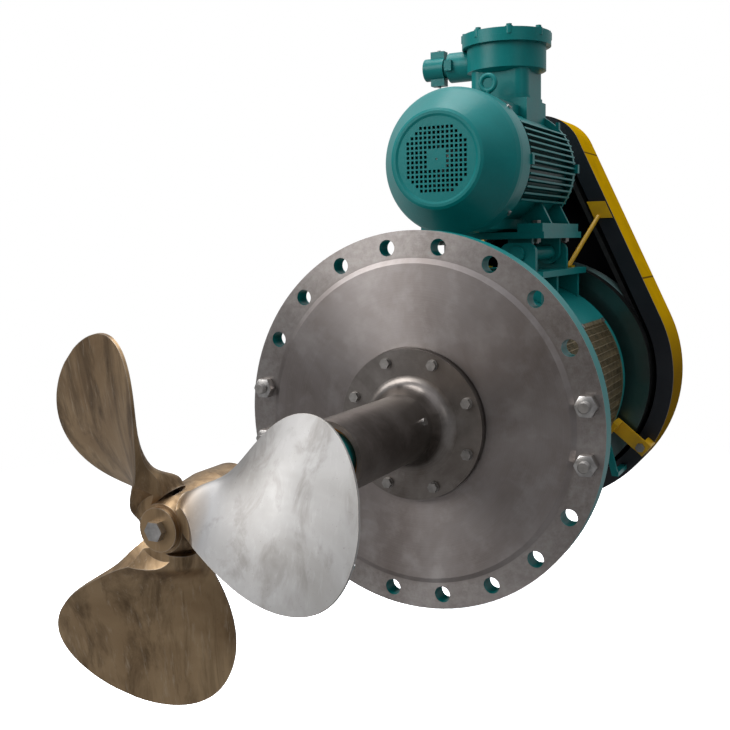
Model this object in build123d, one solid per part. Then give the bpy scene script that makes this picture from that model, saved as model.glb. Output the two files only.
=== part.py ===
"""Side entry tank mixer: belt drive, bearing housing, tank flange, stuffing tube and propeller.

The shaft axis is the Y axis and the origin is its crossing with the bolting face of the tank flange.
The propeller lies at -Y inside the tank, the motor and the belt drive at +Y outside it, +Z is up.
All lengths are in millimetres and all angles in degrees.
"""
from build123d import *
from math import asin, atan2, cos, degrees, exp, pi, radians, sin, sqrt, tan
import os

# ---- clearances ----
seat_gap = 0.05          # between a part and the seat that holds it, on the radius
running_gap = 0.06       # between a journal and its bush or ring, on the radius
moving_gap = 0.4         # between parts that move past each other
bolt_gap = 0.5           # between a bolt and its clearance hole, on the radius
past = 1.0               # how far a cut runs past the face it opens
end_gap = 2.0            # between a fastener's end and the bottom of its hole

# ---- tank flange ----
flange_d = 813.0
flange_hole_d = 35.0
flange_hole_count = 20
flange_back = 40.0
flange_pcd = flange_d - 63.7
raised_face_d = flange_pcd - 73.3
raised_face_h = 5.0
raised_slope = 11.0      # width of the slope round the raised face
stud_d = 24.0
nut_af = 41.0
nut_h = 20.0
stud_front = -nut_h - 14
stud_rear = flange_back + nut_h + 10
flange_angles = [360 / flange_hole_count * (i + 0.5) for i in range(flange_hole_count)]
stud_angles = (flange_angles[0], -flange_angles[0], 180 - flange_angles[0], 180 + flange_angles[0])

# ---- stuffing tube ----
tube_d = 142.0
tube_wall = 9.5
tube_length = 382.0
tube_flange_d = 322.0
tube_flange_front = -raised_face_h - 20
tube_register = 4.0      # depth of the tube flange's seat in the tank flange
tube_seat = tube_register - raised_face_h
register_gap = 3.0
tube_bolt_count = 8
tube_bolt_d = 12.0
tube_washer_t = 2.5
tube_neck_length = 46.0
tube_spigot = flange_back - 6
tube_flange_pcd = tube_flange_d - 44
flange_bore_d = tube_d + 8
tube_bore_r = tube_d / 2 - tube_wall
tube_bolt_end = 25.0
tube_angles = [360 / tube_bolt_count * (i + 0.5) for i in range(tube_bolt_count)]
screw_d = 10.0
screw_angle = 20.0
screw_y = -105.0
screw_head_h = 6.0
bush_length = 45.0
bush_inset = 16.0
bush_front = -tube_length + bush_inset

# ---- shaft and propeller ----
shaft_d = 90.0
hub_nose = 839.0         # distance of the hub's free end in front of the flange face
hub_length = 170.0
hub_rear = -hub_nose + hub_length
hub_seat_d = shaft_d - 28
hub_nose_d = hub_seat_d + 8
hub_root_d = hub_seat_d + 50
bearing_seat_d = shaft_d - 5
pulley_seat_d = shaft_d - 15
blade_count = 3
blade_angle = 13.2       # of the first blade at its root, from +X towards +Z
blade_tip_r = 292.5
blade_pitch = 513.0
blade_skew = -5.0        # how far the tip lags its root, in degrees
blade_plane = hub_nose - 33.5
blade_root_r = 60.0
blade_root_chord = 113.0
blade_max_chord = 264.0
blade_widest = 0.6       # share of the blade's length where it is widest
blade_root_t = 24.0
blade_tip_t = 5.0
root_fillet = 22.0       # extra half thickness where a blade meets the hub
root_fade = 18.0
blade_trim_r = hub_nose_d / 2 + 12
cap_d = hub_nose_d - 8
cap_t = 8.0
hub_bolt_d = 16.0
hub_bolt_length = 40.0
key_w = 14.0
key_h = 9.0
key_slack = 0.1
key_end = 20.0           # from a keyway's end to the end of its seat
collar_t = 30.0
collar_d = shaft_d + 14
collar_front = -tube_length - 14

# ---- motor ----
motor_height = 560.0     # motor axis above the shaft axis
shaft_height = 160.0
frame_d = 326.0
frame_core_d = frame_d - 44
fin_pitch = 14.5
fin_t = 4.0
fins_per_side = 13
cover_face = 131.0
cover_length = 153.0
cover_cone = 84.0
cover_t = 2.5
cover_d = frame_d + 4
cover_face_d = 202.0
cover_rear = cover_face + cover_length
cover_screw_d = 8.0
cover_screw_angles = (45, 135, 225, 315)
grille_pitch = 10.4
grille_hole = 6.6
grille_rows = (8, 10, 12, 14, 14, 14, 14, 14, 14, 14, 14, 12, 10, 8)
grille_blank = 4
frame_length = 394.0
frame_collar = 14.0
frame_wall = 12.0
frame_front = cover_rear + 2
frame_rear = frame_front + frame_length
stator_r = frame_core_d / 2 - frame_wall
stator_bore_r = 0.7 * stator_r
stator_front = frame_front + 74
stator_rear = frame_rear - 80
air_gap = 1.0
motor_shaft_d = 42.0
motor_bearing_in = motor_shaft_d / 2 + 3
motor_bearing_r = motor_bearing_in + 21
motor_bearing_w = 30.0
rotor_seat_r = motor_shaft_d / 2 + 9
motor_shoulder = frame_rear + 110
motor_shaft_end = motor_shoulder + 110
motor_key_w = 12.0
motor_key_h = 8.0
fan_y = cover_face + 57
fan_r = 128.0
fan_t = 4.0
fan_depth = 48.0
fan_blades = 9
vane_t = 3.5
foot_front = frame_front + 114
foot_length = frame_length - 79
foot_half_width = 157.0
foot_w = 62.0
foot_t = 20.0
foot_z = motor_height - shaft_height
foot_rib_t = 12.0
rib_ys = (foot_front + 105, foot_front + foot_length - 55)
foot_bolt_d = 12.0
foot_nut_af = 19.0
foot_nut_h = 9.0
foot_bolt_x = foot_half_width - 30
foot_holes = [(side * foot_bolt_x, y) for side in (1, -1)
              for y in (foot_front + 47, foot_front + foot_length - 20)]
eye_y = frame_rear - 218
eye_d = 12.0
eye_rise = 41.0          # ring centre above the frame
eye_r = 18.5
eye_wire_r = 6.0

# ---- terminal box ----
box_y = frame_rear - 80
box_neck_w = 151.0
box_corner = 28.0
box_d = 201.0
box_wall = 9.0
box_seat_h = frame_d / 2 + 9
box_neck_top = frame_d / 2 + 85
box_top = box_neck_top + 76
box_taper = 8.0
lid_d = box_d + 25
lid_t = 16.0
lid_bolt_d = 8.0
lid_bolt_count = 8
lid_bolt_pcd = lid_d - 16
lid_angles = [360 / lid_bolt_count * (i + 0.5) for i in range(lid_bolt_count)]
lid_places = [(lid_bolt_pcd / 2 * cos(radians(a)), box_y + lid_bolt_pcd / 2 * sin(radians(a)))
              for a in lid_angles]
lid_pad_r = 10.0
lid_crown = 4.0
neck_base = motor_height + box_seat_h
neck_top = motor_height + box_neck_top
box_rim = motor_height + box_top
gland_bore_d = 30.0
gland_thread_r = gland_bore_d / 2 + 5
gland_axis_z = neck_top + 26
boss_r = 38.0
boss_end = -box_d / 2 - 16
barrel_end = boss_end - 36
clamp_start = barrel_end - 14
clamp_end = clamp_start - 56
clamp_x = clamp_start - 20
clamp_d = 6.0
clamp_r = 29.0
ear_reach = 44.0
wire_hole_r = 24.0

# ---- belt drive ----
belt_count = 4
belt_pitch = 19.0
belt_top_w = 16.3
belt_h = 13.0
belt_flank = 19.0
belt_slope = tan(radians(belt_flank))
belt_side_gap = 0.35
groove_depth = 17.5
driven_d = 650.0
drive_d = 167.0
rim_t = 20.0
pulley_side = 12.5
pulley_w = (belt_count - 1) * belt_pitch + 2 * pulley_side
pulley_front = motor_shoulder + 90     # front of the grooved part of both pulleys
pulley_rear = pulley_front + pulley_w
belt_ys = [pulley_front + pulley_side + belt_pitch * i for i in range(belt_count)]
driven_band = 42.0       # plain rim in front of the driven pulley's grooves
driven_face = pulley_front - driven_band
hub_wall = 40.0
pulley_web_t = 16.0
web_inset = 5.0
drive_hub = 40.0         # hub in front of the drive pulley's grooves
drive_hub_step = 28.0
drive_hub_face = pulley_front - drive_hub
shaft_rear = pulley_rear + 10
belt_lean = degrees(asin((driven_d - drive_d) / 2 / motor_height))
belt_run = sqrt(motor_height ** 2 - ((driven_d - drive_d) / 2) ** 2)

# ---- bearing housing and shaft seal ----
drum_d = 540.0
drum_wall = 12.0
drum_rear = pulley_front - 100
window_half_angle = 36.0
window_front = flange_back + 70
window_rear = drum_rear - 40
web_t = 16.0
web_foot = 24.0
bearing_d = bearing_seat_d + 65
bearing_w = 28.0
bearing_lip = 12.0
bearing_ring_t = 9.0
bearing_ball_pcd = (bearing_d + bearing_seat_d) / 2
bearing_ball_r = 9.5
bearing_balls = 12
race_gap = 0.2
cartridge_d = bearing_d + 60
cartridge_front = flange_back + 210
cartridge_rear = drum_rear - 4
cartridge_bore_r = bearing_d / 2 + seat_gap
front_bearing_y = cartridge_front + 30
rear_bearing_y = cartridge_rear - bearing_w - 26
locknut_t = 20.0
locknut_step = 9.0
mesh_t = 2.0
mesh_lap = 10.0
mesh_lap_angle = degrees(mesh_lap / drum_d)
mesh_screw_d = 8.0
mesh_head_h = 5.0
mesh_screw_length = 14.0
mesh_screw_angles = [side + way * (window_half_angle + mesh_lap_angle) for side in (0, 180)
                     for way in (1, -1)]
mesh_screw_ys = [window_front + (window_rear - window_front) * i / 3 for i in range(4)]
sleeve_t = 5.0
seal_gland_d = shaft_d + 110
seal_seat_w = 14.0
seal_ring_w = 22.0
seal_ring_y = flange_back + 20 + seal_seat_w + 0.1
gland_t = 20.0
gland_bolt_d = 12.0
gland_bolt_count = 6
gland_bolt_pcd = seal_gland_d - 2 * gland_bolt_d - 6
gland_angles = [360 / gland_bolt_count * i for i in range(gland_bolt_count)]
gland_bolt_end = flange_back - 18

# ---- motor base ----
base_t = 16.0
base_under = foot_z - base_t
base_edge = foot_half_width + 3
hinge_x = 97.0
hinge_z = base_under - 36
hinge_d = 36.0
hinge_ear_r = 30.0
hinge_end = 7.0          # how far the rod stands out of its lugs
lug_t = 16.0
lug_half_width = 44.0
lug_rise = 26.0
lug_corner = 22.0
saddle_top = hinge_z - 43
saddle_t = 15.0
saddle_front = foot_front - 5
saddle_rear = drum_rear + 10
saddle_half_width = 160.0
saddle_web_t = 16.0
saddle_web_low = 0.76 * drum_d / 2
hinge_rear = saddle_rear - 130
lug_ys = (saddle_front, hinge_rear)
ear_ys = (saddle_front + lug_t + moving_gap, hinge_rear - moving_gap - lug_t)
jack_x = -130.0
jack_d = 20.0
jack_af = 30.0
jack_boss_h = 18.0
jack_nut_h = 14.0
jack_cap_h = 12.0
jack_ys = (foot_front + 110, foot_front + foot_length - 110)
saddle_web_ys = (saddle_front + 25, sum(jack_ys) / 2 - saddle_web_t / 2, saddle_rear - 45)

# ---- belt guard ----
guard_front = pulley_front - 10
guard_rear = pulley_rear + 61
guard_low_r = driven_d / 2 + 56
guard_top_r = drive_d / 2 + 41.5
guard_top_z = motor_height + 43
guard_sheet = 4.0
guard_border = 44.0
guard_lip = 30.0
guard_lean = degrees(asin((guard_low_r - guard_top_r) / guard_top_z))
bracket_z = motor_height - 100
bracket_half_h = 23.0
bracket_t = 5.0
bracket_w = 50.0
bracket_edge = 4.0       # from the bracket's outer end to the guard's edge
strut_r = 6.0
strut_foot = 15.0
strut_foot_x = 118.0
strut_foot_y = drum_rear - 22
strap_t = 6.0
strap_half_w = 19.0
strap_front = drum_rear + 35
strap_angles = (-28.7, -31.9)    # of the strap's inner and outer end, from +X towards +Z
strap_bolt_d = 14.0
stay_t = 10.0


def cylinder_y(r, y0, y1, x=0.0, z=0.0):
    """Solid cylinder along Y from y0 to y1."""
    return Pos(x, (y0 + y1) / 2, z) * Rot(90, 0, 0) * Cylinder(r, abs(y1 - y0))


def ring_y(r_out, r_in, y0, y1, x=0.0, z=0.0):
    """Ring along Y from y0 to y1."""
    return cylinder_y(r_out, y0, y1, x, z) - cylinder_y(r_in, y0 - 1, y1 + 1, x, z)


def turned(points, x=0.0, z=0.0):
    """Body of revolution about Y from (radius, y) points."""
    return Pos(x, 0, z) * revolve(make_face(Polyline(*points, close=True)), Axis.Y)


def slab(sketch, y0, y1):
    """Prism along Y of a sketch drawn in (x, z)."""
    return extrude(Plane((0, y1, 0), x_dir=(1, 0, 0), z_dir=(0, -1, 0)) * sketch, y1 - y0)


def block(x0, x1, y0, y1, z0, z1):
    """Box between the given corners."""
    return Pos((x0 + x1) / 2, (y0 + y1) / 2, (z0 + z1) / 2) * Box(x1 - x0, y1 - y0, z1 - z0)


def polar(r, angle, z=0.0):
    """Point in the XZ plane at an angle from +X towards +Z."""
    return r * cos(radians(angle)), z + r * sin(radians(angle))


def hexagon_y(af, y0, y1, x=0.0, z=0.0):
    """Hexagonal prism along Y."""
    return slab(Pos(x, z) * RegularPolygon(af / 2, 6, major_radius=False), y0, y1)


def bolt_y(d, head_y, tip_y, x, z, head_h=None):
    """Hex bolt along Y with its head's underside at head_y and its end at tip_y."""
    way = 1 if tip_y > head_y else -1
    head = hexagon_y(1.6 * d, *sorted((head_y, head_y - way * (head_h or 0.65 * d))), x, z)
    return head + cylinder_y(d / 2, min(head_y, tip_y), max(head_y, tip_y), x, z)


def rod_z(r, z0, z1, x, y):
    """Solid cylinder along Z."""
    return Pos(x, y, (z0 + z1) / 2) * Cylinder(r, z1 - z0)


def bolt_z(d, head_z, tip_z, x, y):
    """Hex bolt along Z, head on top."""
    head = Pos(x, y, head_z) * extrude(RegularPolygon(0.8 * d, 6, major_radius=False), 0.65 * d)
    return head + rod_z(d / 2, tip_z, head_z, x, y)


def group(solids):
    return Compound(children=list(solids))


def bolt_circle(r, angles, shape, z=0.0):
    """One copy of shape(x, z) at each angle of a bolt circle."""
    return [shape(*polar(r, a, z)) for a in angles]


# ---- tank side ----
def mounting_flange():
    """Ring with a raised face, a seat for the tube's flange, 20 clearance holes and two rings of taps."""
    r = raised_face_d / 2
    seat_r = tube_flange_d / 2 + register_gap
    body = turned([(flange_bore_d / 2, tube_seat), (seat_r, tube_seat), (seat_r, -raised_face_h),
                   (r, -raised_face_h), (r + raised_slope, 0), (flange_d / 2, 0), (flange_d / 2, flange_back),
                   (flange_bore_d / 2, flange_back)])
    holes = bolt_circle(flange_pcd / 2, flange_angles,
                        lambda x, z: cylinder_y(flange_hole_d / 2, -past, flange_back + past, x, z))
    taps = bolt_circle(tube_flange_pcd / 2, tube_angles,
                       lambda x, z: cylinder_y(tube_bolt_d / 2 + seat_gap, tube_seat - past,
                                               tube_bolt_end + end_gap, x, z))
    taps += bolt_circle(gland_bolt_pcd / 2, gland_angles,
                        lambda x, z: cylinder_y(gland_bolt_d / 2 + seat_gap, gland_bolt_end,
                                                flange_back + past, x, z))
    return body - holes - taps


def stuffing_tube():
    """Tube with a bolted flange, a smooth neck between them and a spigot in the tank flange."""
    r = tube_d / 2
    front = tube_flange_front
    neck_end = front - tube_neck_length
    spigot_r = flange_bore_d / 2 - seat_gap
    back = Polyline((tube_bore_r, -tube_length), (tube_bore_r, tube_spigot), (spigot_r, tube_spigot),
                    (spigot_r, tube_seat), (tube_flange_d / 2, tube_seat), (tube_flange_d / 2, front),
                    (r + 34, front))
    neck = Spline((r + 34, front), (r + 17, front - 7), (r + 7, front - 22), (r, neck_end))
    outside = Polyline((r, neck_end), (r, -tube_length), (tube_bore_r, -tube_length))
    body = revolve(make_face([back, neck, outside]), Axis.Y)
    holes = bolt_circle(tube_flange_pcd / 2, tube_angles,
                        lambda x, z: cylinder_y(tube_bolt_d / 2 + bolt_gap, front - past, tube_seat + past,
                                                x, z))
    return body - holes - screw_hole(screw_d / 2 + seat_gap)


def screw_hole(r):
    """Radial hole for the tube's screw, from just inside the wall outwards."""
    depth = 3 * tube_wall
    x, z = polar(tube_bore_r + past + depth / 2, screw_angle)
    return Pos(x, screw_y, z) * Rot(0, 90 - screw_angle, 0) * Cylinder(r, depth)


def tube_screw():
    """Round-headed screw in the side of the tube."""
    turn = Rot(0, 90 - screw_angle, 0)
    wall = tube_wall - past
    x, z = polar(tube_bore_r + past + wall / 2, screw_angle)
    hx, hz = polar((tube_d + screw_head_h) / 2, screw_angle)
    shank = Pos(x, screw_y, z) * turn * Cylinder(screw_d / 2, wall)
    return shank + Pos(hx, screw_y, hz) * turn * Cylinder(screw_d * 0.8, screw_head_h)


def tube_flange_bolts():
    """Hex bolts with washers that hold the tube's flange."""
    head = tube_flange_front - tube_washer_t
    def one(x, z):
        washer = cylinder_y(tube_bolt_d, head, tube_flange_front, x, z)
        return bolt_y(tube_bolt_d, head, tube_bolt_end, x, z) + washer
    return group(bolt_circle(tube_flange_pcd / 2, tube_angles, one))


def tube_bush():
    return ring_y(tube_bore_r - seat_gap, shaft_d / 2 + running_gap, bush_front, bush_front + bush_length)


def transport_studs():
    return group(bolt_circle(flange_pcd / 2, stud_angles,
                             lambda x, z: cylinder_y(stud_d / 2, stud_front, stud_rear, x, z)))


def transport_nuts():
    """One nut in front of and one behind the flange on each stud."""
    def one(x, z, y0):
        nut = hexagon_y(nut_af, y0, y0 + nut_h, x, z)
        return nut - cylinder_y(stud_d / 2 + seat_gap, y0 - past, y0 + nut_h + past, x, z)
    return group(nut for y0 in (-nut_h, flange_back)
                 for nut in bolt_circle(flange_pcd / 2, stud_angles, lambda x, z: one(x, z, y0)))


# ---- shaft line ----


def key_slot(r, y0, y1, w, deep):
    """Keyway block on the top of a shaft."""
    return block(-w / 2, w / 2, y0, y1, r - deep, r + w)


def impeller_shaft():
    """Stepped shaft: propeller seat, long journal, bearing seats and pulley seat."""
    nose = -hub_nose + end_gap
    front_seat = front_bearing_y - bearing_lip
    rear_seat = rear_bearing_y + bearing_w + locknut_t
    body = turned([(0, nose), (hub_seat_d / 2, nose), (hub_seat_d / 2, hub_rear), (shaft_d / 2, hub_rear),
                   (shaft_d / 2, front_seat), (bearing_seat_d / 2, front_seat),
                   (bearing_seat_d / 2, rear_seat), (pulley_seat_d / 2, rear_seat),
                   (pulley_seat_d / 2, shaft_rear), (0, shaft_rear)])
    body -= cylinder_y(hub_bolt_d / 2 + seat_gap, nose - past, nose + hub_bolt_length + end_gap)
    body -= key_slot(hub_seat_d / 2, nose + key_end, hub_rear - key_end, key_w + key_slack, key_h / 2)
    return body - key_slot(pulley_seat_d / 2, pulley_front + 4, pulley_rear - 4, key_w + key_slack, key_h / 2)


def key(r, y0, y1):
    """Parallel key half sunk in a shaft of radius r."""
    return block(-key_w / 2, key_w / 2, y0, y1, r - key_h / 2 + seat_gap, r + key_h / 2)


def propeller_key():
    return key(hub_seat_d / 2, -hub_nose + end_gap + key_end + key_slack, hub_rear - key_end - key_slack)


def driven_key():
    return key(pulley_seat_d / 2, pulley_front + 4 + key_slack, pulley_rear - 4 - key_slack)


def blade_section(share):
    """Lens section of a blade at a share of the way from its root to its tip."""
    r = blade_root_r + (blade_tip_r - blade_root_r) * share
    grow = sin(pi / 2 * min(share / blade_widest, 1))
    chord = blade_root_chord + (blade_max_chord - blade_root_chord) * grow
    if share > blade_widest:
        chord *= sqrt(1 - ((share - blade_widest) / (1 - blade_widest)) ** 2.3)
    extra = root_fillet * min(exp((blade_root_r - r) / root_fade), 1.3)
    thick = blade_root_t + (blade_tip_t - blade_root_t) * max(share, 0) ** 0.7
    pitch_angle = atan2(blade_pitch, 2 * pi * r)
    rim = min(thick, blade_tip_t) / 2 + 0.6 * extra
    half = chord / 2
    crown = thick / 2 + extra
    shoulder = 0.8 * crown + 0.2 * rim
    back = Spline((-half, rim), (-half / 2, shoulder), (0, crown), (half / 2, shoulder), (half, rim))
    face = Spline((half, -rim), (0, -crown), (-half, -rim))
    lens = make_face([back, Line(back @ 1, face @ 0), face, Line(face @ 1, back @ 0)])
    place = Plane((r, 0, 0), x_dir=(0, sin(pitch_angle), cos(pitch_angle)), z_dir=(1, 0, 0))
    return Rot(0, -blade_skew * share, 0) * (place * lens)


def propeller():
    """Hub with three blades whose roots are turned down to a cone in front of the hub's nose."""
    shares = (-0.12, -0.05, 0.0, 0.06, 0.13, 0.22, 0.36, 0.52, 0.68, 0.8, 0.89, 0.95, 0.985, 0.997)
    blade = loft([blade_section(s) for s in shares])
    nose, rear = -hub_nose, hub_rear
    body = turned([(0, nose), (hub_nose_d / 2, nose), (hub_nose_d / 2 + 8, nose + 24),
                   (hub_root_d / 2, rear - 60), (hub_root_d / 2, rear), (0, rear)])
    for i in range(blade_count):
        body += Pos(0, -blade_plane, 0) * Rot(0, -(blade_angle + i * 360 / blade_count), 0) * blade
    body -= turned([(0, nose), (blade_trim_r, nose), (blade_trim_r + hub_length, nose - hub_length),
                    (0, nose - hub_length)])
    body -= cylinder_y(hub_seat_d / 2 + seat_gap, nose - past, rear + past)
    return body - key_slot(hub_seat_d / 2, nose + end_gap + key_end, rear - key_end, key_w + key_slack,
                           key_h / 2)


def hub_cap():
    return ring_y(cap_d / 2, hub_bolt_d / 2 + bolt_gap, -hub_nose - cap_t, -hub_nose)


def hub_bolt():
    return bolt_y(hub_bolt_d, -hub_nose - cap_t, -hub_nose + hub_bolt_length, 0, 0)


def shutoff_collar():
    return ring_y(collar_d / 2, shaft_d / 2 + seat_gap, collar_front, collar_front + collar_t)


# ---- shaft seal ----


def seal_gland():
    """Ring bolted to the back of the tank flange that holds the seal's seat."""
    rear = flange_back + gland_t
    body = ring_y(seal_gland_d / 2, shaft_d / 2 + sleeve_t + end_gap, flange_back, rear)
    return body - bolt_circle(gland_bolt_pcd / 2, gland_angles,
                              lambda x, z: cylinder_y(gland_bolt_d / 2 + bolt_gap, flange_back - past,
                                                      rear + past, x, z))


def gland_bolts():
    tip = gland_bolt_end + end_gap
    return group(bolt_circle(gland_bolt_pcd / 2, gland_angles,
                             lambda x, z: bolt_y(gland_bolt_d, flange_back + gland_t, tip, x, z)))


def seal_sleeve():
    rear = seal_ring_y + seal_ring_w + 12
    return ring_y(shaft_d / 2 + sleeve_t, shaft_d / 2 + seat_gap, flange_back - 4, rear)


def seal_seat():
    y0 = flange_back + gland_t
    return ring_y(shaft_d / 2 + 18, shaft_d / 2 + sleeve_t + 1, y0, y0 + seal_seat_w)


def seal_ring():
    inner = shaft_d / 2 + sleeve_t + seat_gap
    return ring_y(inner + 11, inner, seal_ring_y, seal_ring_y + seal_ring_w)


# ---- bearing housing ----


def sector(half_angle, y0, y1):
    """Wedge along Y opening towards +X, used to cut or keep side windows."""
    reach = drum_d
    x, h = reach * cos(radians(half_angle)), reach * sin(radians(half_angle))
    return slab(make_face(Polyline((0, 0), (x, -h), (reach, -h), (reach, h), (x, h), close=True)), y0, y1)


def housing_drum():
    """Drum with two side windows, two webs that carry the cartridge and two stays to the belt guard."""
    drum = ring_y(drum_d / 2, drum_d / 2 - drum_wall, flange_back, drum_rear)
    for side in (0, 180):
        drum -= Rot(0, side, 0) * sector(window_half_angle, window_front, window_rear)
    hole_r = cartridge_d / 2 + seat_gap
    for y in (cartridge_front + web_foot, drum_rear - web_t):
        drum += ring_y(drum_d / 2 - drum_wall / 2, hole_r, y, y + web_t)
    for side in (1, -1):
        drum += guard_stay(side)
    return drum - screw_pins(mesh_screw_d / 2 + seat_gap)


def guard_stay(side):
    """Flat bar from the rear edge of the drum down to the guard's front border."""
    root_x, root_z = polar(drum_d / 2 - drum_wall / 2, -32)
    end_x, end_z = polar(guard_low_r - 10, -46)
    bar = slab(make_face(Polyline((side * root_x, root_z), (side * (root_x - 12), root_z - 14),
                                  (side * (end_x - 18), end_z), (side * end_x, end_z), close=True)),
               drum_rear - stay_t, drum_rear)
    x0, x1 = sorted((side * end_x, side * (end_x - 18)))
    return bar + block(x0, x1, drum_rear - stay_t, guard_front, end_z, end_z + 12)


def bearing_cartridge():
    """Tube through the webs with a bearing seat at each end."""
    inner = cartridge_bore_r - 8
    seat_1 = front_bearing_y + bearing_w
    profile = [(cartridge_d / 2, cartridge_front), (cartridge_d / 2, cartridge_rear),
               (cartridge_bore_r, cartridge_rear), (cartridge_bore_r, rear_bearing_y),
               (inner, rear_bearing_y),
               (inner, seat_1), (cartridge_bore_r, seat_1), (cartridge_bore_r, front_bearing_y),
               (shaft_d / 2 + 6, front_bearing_y), (shaft_d / 2 + 6, cartridge_front)]
    return turned(profile)


def bearing_outer(y0):
    """Outer ring with its raceway groove."""
    ring = ring_y(bearing_d / 2, bearing_d / 2 - bearing_ring_t, y0, y0 + bearing_w)
    race = Circle(bearing_ball_r + race_gap)
    return ring - revolve(Plane.XY * Pos(bearing_ball_pcd / 2, y0 + bearing_w / 2) * race, Axis.Y)


def bearing_inner(y0):
    """Inner ring carrying its balls."""
    r0 = bearing_seat_d / 2 + seat_gap
    ring = ring_y(r0 + bearing_ring_t, r0, y0, y0 + bearing_w)
    mid = y0 + bearing_w / 2
    for i in range(bearing_balls):
        x, z = polar(bearing_ball_pcd / 2, 360 / bearing_balls * i)
        ring += Pos(x, mid, z) * Sphere(bearing_ball_r)
    return ring


def rear_bearing_cover():
    y0 = rear_bearing_y + bearing_w
    plate = ring_y(cartridge_d / 2 - 6, bearing_seat_d / 2 + locknut_step + 2, cartridge_rear, drum_rear + 8)
    return plate + ring_y(cartridge_bore_r - seat_gap, bearing_d / 2 - bearing_ring_t, y0, cartridge_rear)


def bearing_locknut():
    y0 = rear_bearing_y + bearing_w
    nut = ring_y(bearing_seat_d / 2 + locknut_step, bearing_seat_d / 2 + seat_gap, y0, y0 + locknut_t)
    for i in range(4):
        x, z = polar(bearing_seat_d / 2 + locknut_step, 90 * i)
        nut -= Pos(x, y0 + locknut_t / 2, z) * Rot(0, -90 * i, 0) * Box(6, locknut_t + 2, 8)
    return nut


def mesh_guards():
    """Curved perforated sheets over the two side windows."""
    r = drum_d / 2 + seat_gap
    guards = []
    for side in (0, 180):
        shell = ring_y(r + mesh_t, r, window_front - mesh_lap, window_rear + mesh_lap)
        sheet = shell & (Rot(0, side, 0) * sector(window_half_angle + 2 * mesh_lap_angle, flange_back,
                                                  drum_rear))
        guards.append(sheet - screw_pins(mesh_screw_d / 2 + bolt_gap))
    return group(guards)


def screw_pins(r):
    """Radial pins at the mesh screws, all round both windows."""
    reach = drum_wall + mesh_t + end_gap
    mid = drum_d / 2 - drum_wall + reach / 2
    pins = []
    for angle in mesh_screw_angles:
        for y in mesh_screw_ys:
            x, z = polar(mid, angle)
            pins.append(Pos(x, y, z) * Rot(0, 90 - angle, 0) * Cylinder(r, reach))
    return pins


def mesh_screws():
    """Pan-headed screws round both windows."""
    r = drum_d / 2 + mesh_t + seat_gap
    screws = []
    for angle in mesh_screw_angles:
        turn = Rot(0, 90 - angle, 0)
        x, z = polar(r + mesh_head_h / 2, angle)
        sx, sz = polar(r + 1 - mesh_screw_length / 2, angle)
        for y in mesh_screw_ys:
            head = Pos(x, y, z) * turn * Cylinder(mesh_screw_d * 0.85, mesh_head_h)
            screws.append(head + Pos(sx, y, sz) * turn * Cylinder(mesh_screw_d / 2, mesh_screw_length))
    return group(screws)


# ---- belt drive ----


def groove(r, y):
    """V groove in a rim of radius r, centred at y."""
    top = belt_top_w / 2 + belt_side_gap + belt_slope * past
    bottom = top - belt_slope * (groove_depth + past)
    low = r - groove_depth
    return turned([(r + past, y - top), (r + past, y + top), (low, y + bottom), (low, y - bottom)])


def driven_pulley():
    """Large grooved wheel with a bare front rim, a set-back web and a keyed hub."""
    r = driven_d / 2
    hub_r = pulley_seat_d / 2 + hub_wall
    web_front = driven_face + web_inset
    wheel = ring_y(r, r - rim_t - groove_depth, driven_face, pulley_rear)
    wheel += ring_y(r - rim_t, hub_r - web_inset, web_front, web_front + pulley_web_t)
    wheel += ring_y(hub_r, pulley_seat_d / 2 + seat_gap, driven_face, pulley_rear)
    for y in belt_ys:
        wheel -= groove(r, y)
    return wheel - key_slot(pulley_seat_d / 2, driven_face - past, pulley_rear + past, key_w + key_slack,
                            key_h / 2)


def belt_section(r):
    """V belt cross-section drawn in (x, y) with its top at radius r."""
    top = belt_top_w / 2
    low = top - belt_slope * belt_h
    return make_face(Polyline((r, -top), (r, top), (r - belt_h, low), (r - belt_h, -low), close=True))


def belts():
    """Closed loops of two arcs and two straight runs round both pulleys."""
    loops = []
    for y in belt_ys:
        low = Pos(0, y, 0) * belt_section(driven_d / 2)
        top = Pos(0, y, 0) * belt_section(drive_d / 2)
        loop = Rot(0, -belt_lean, 0) * revolve(low, Axis.Y, 180 + 2 * belt_lean)
        loop += Pos(0, 0, motor_height) * Rot(0, belt_lean - 180, 0) * revolve(top, Axis.Y,
                                                                               180 - 2 * belt_lean)
        for side, run in ((belt_lean, belt_run), (180 - belt_lean, -belt_run)):
            x, z = polar(1, side)
            start = Plane((0, y, 0), x_dir=(x, 0, z), z_dir=(-z, 0, x))
            loop += extrude(start * belt_section(driven_d / 2), run)
        loops.append(loop)
    return group(loops)


def drive_pulley():
    """Small grooved wheel with a hub towards the motor."""
    r = drive_d / 2
    bore = motor_shaft_d / 2 + seat_gap
    wheel = ring_y(r, bore, pulley_front, pulley_rear)
    wheel += ring_y(r - drive_hub_step, bore, drive_hub_face, pulley_front + past)
    for y in belt_ys:
        wheel -= groove(r, y)
    slot = key_slot(motor_shaft_d / 2, drive_hub_face - past, pulley_rear + past, motor_key_w + key_slack,
                    motor_key_h / 2)
    return Pos(0, 0, motor_height) * (wheel - slot)


def drive_key():
    r = motor_shaft_d / 2
    return Pos(0, 0, motor_height) * block(-motor_key_w / 2, motor_key_w / 2, drive_hub_face + end_gap,
                                           motor_shaft_end - 3 * end_gap, r - motor_key_h / 2 + seat_gap,
                                           r + motor_key_h / 2 - 0.6)


# ---- motor ----


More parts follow.
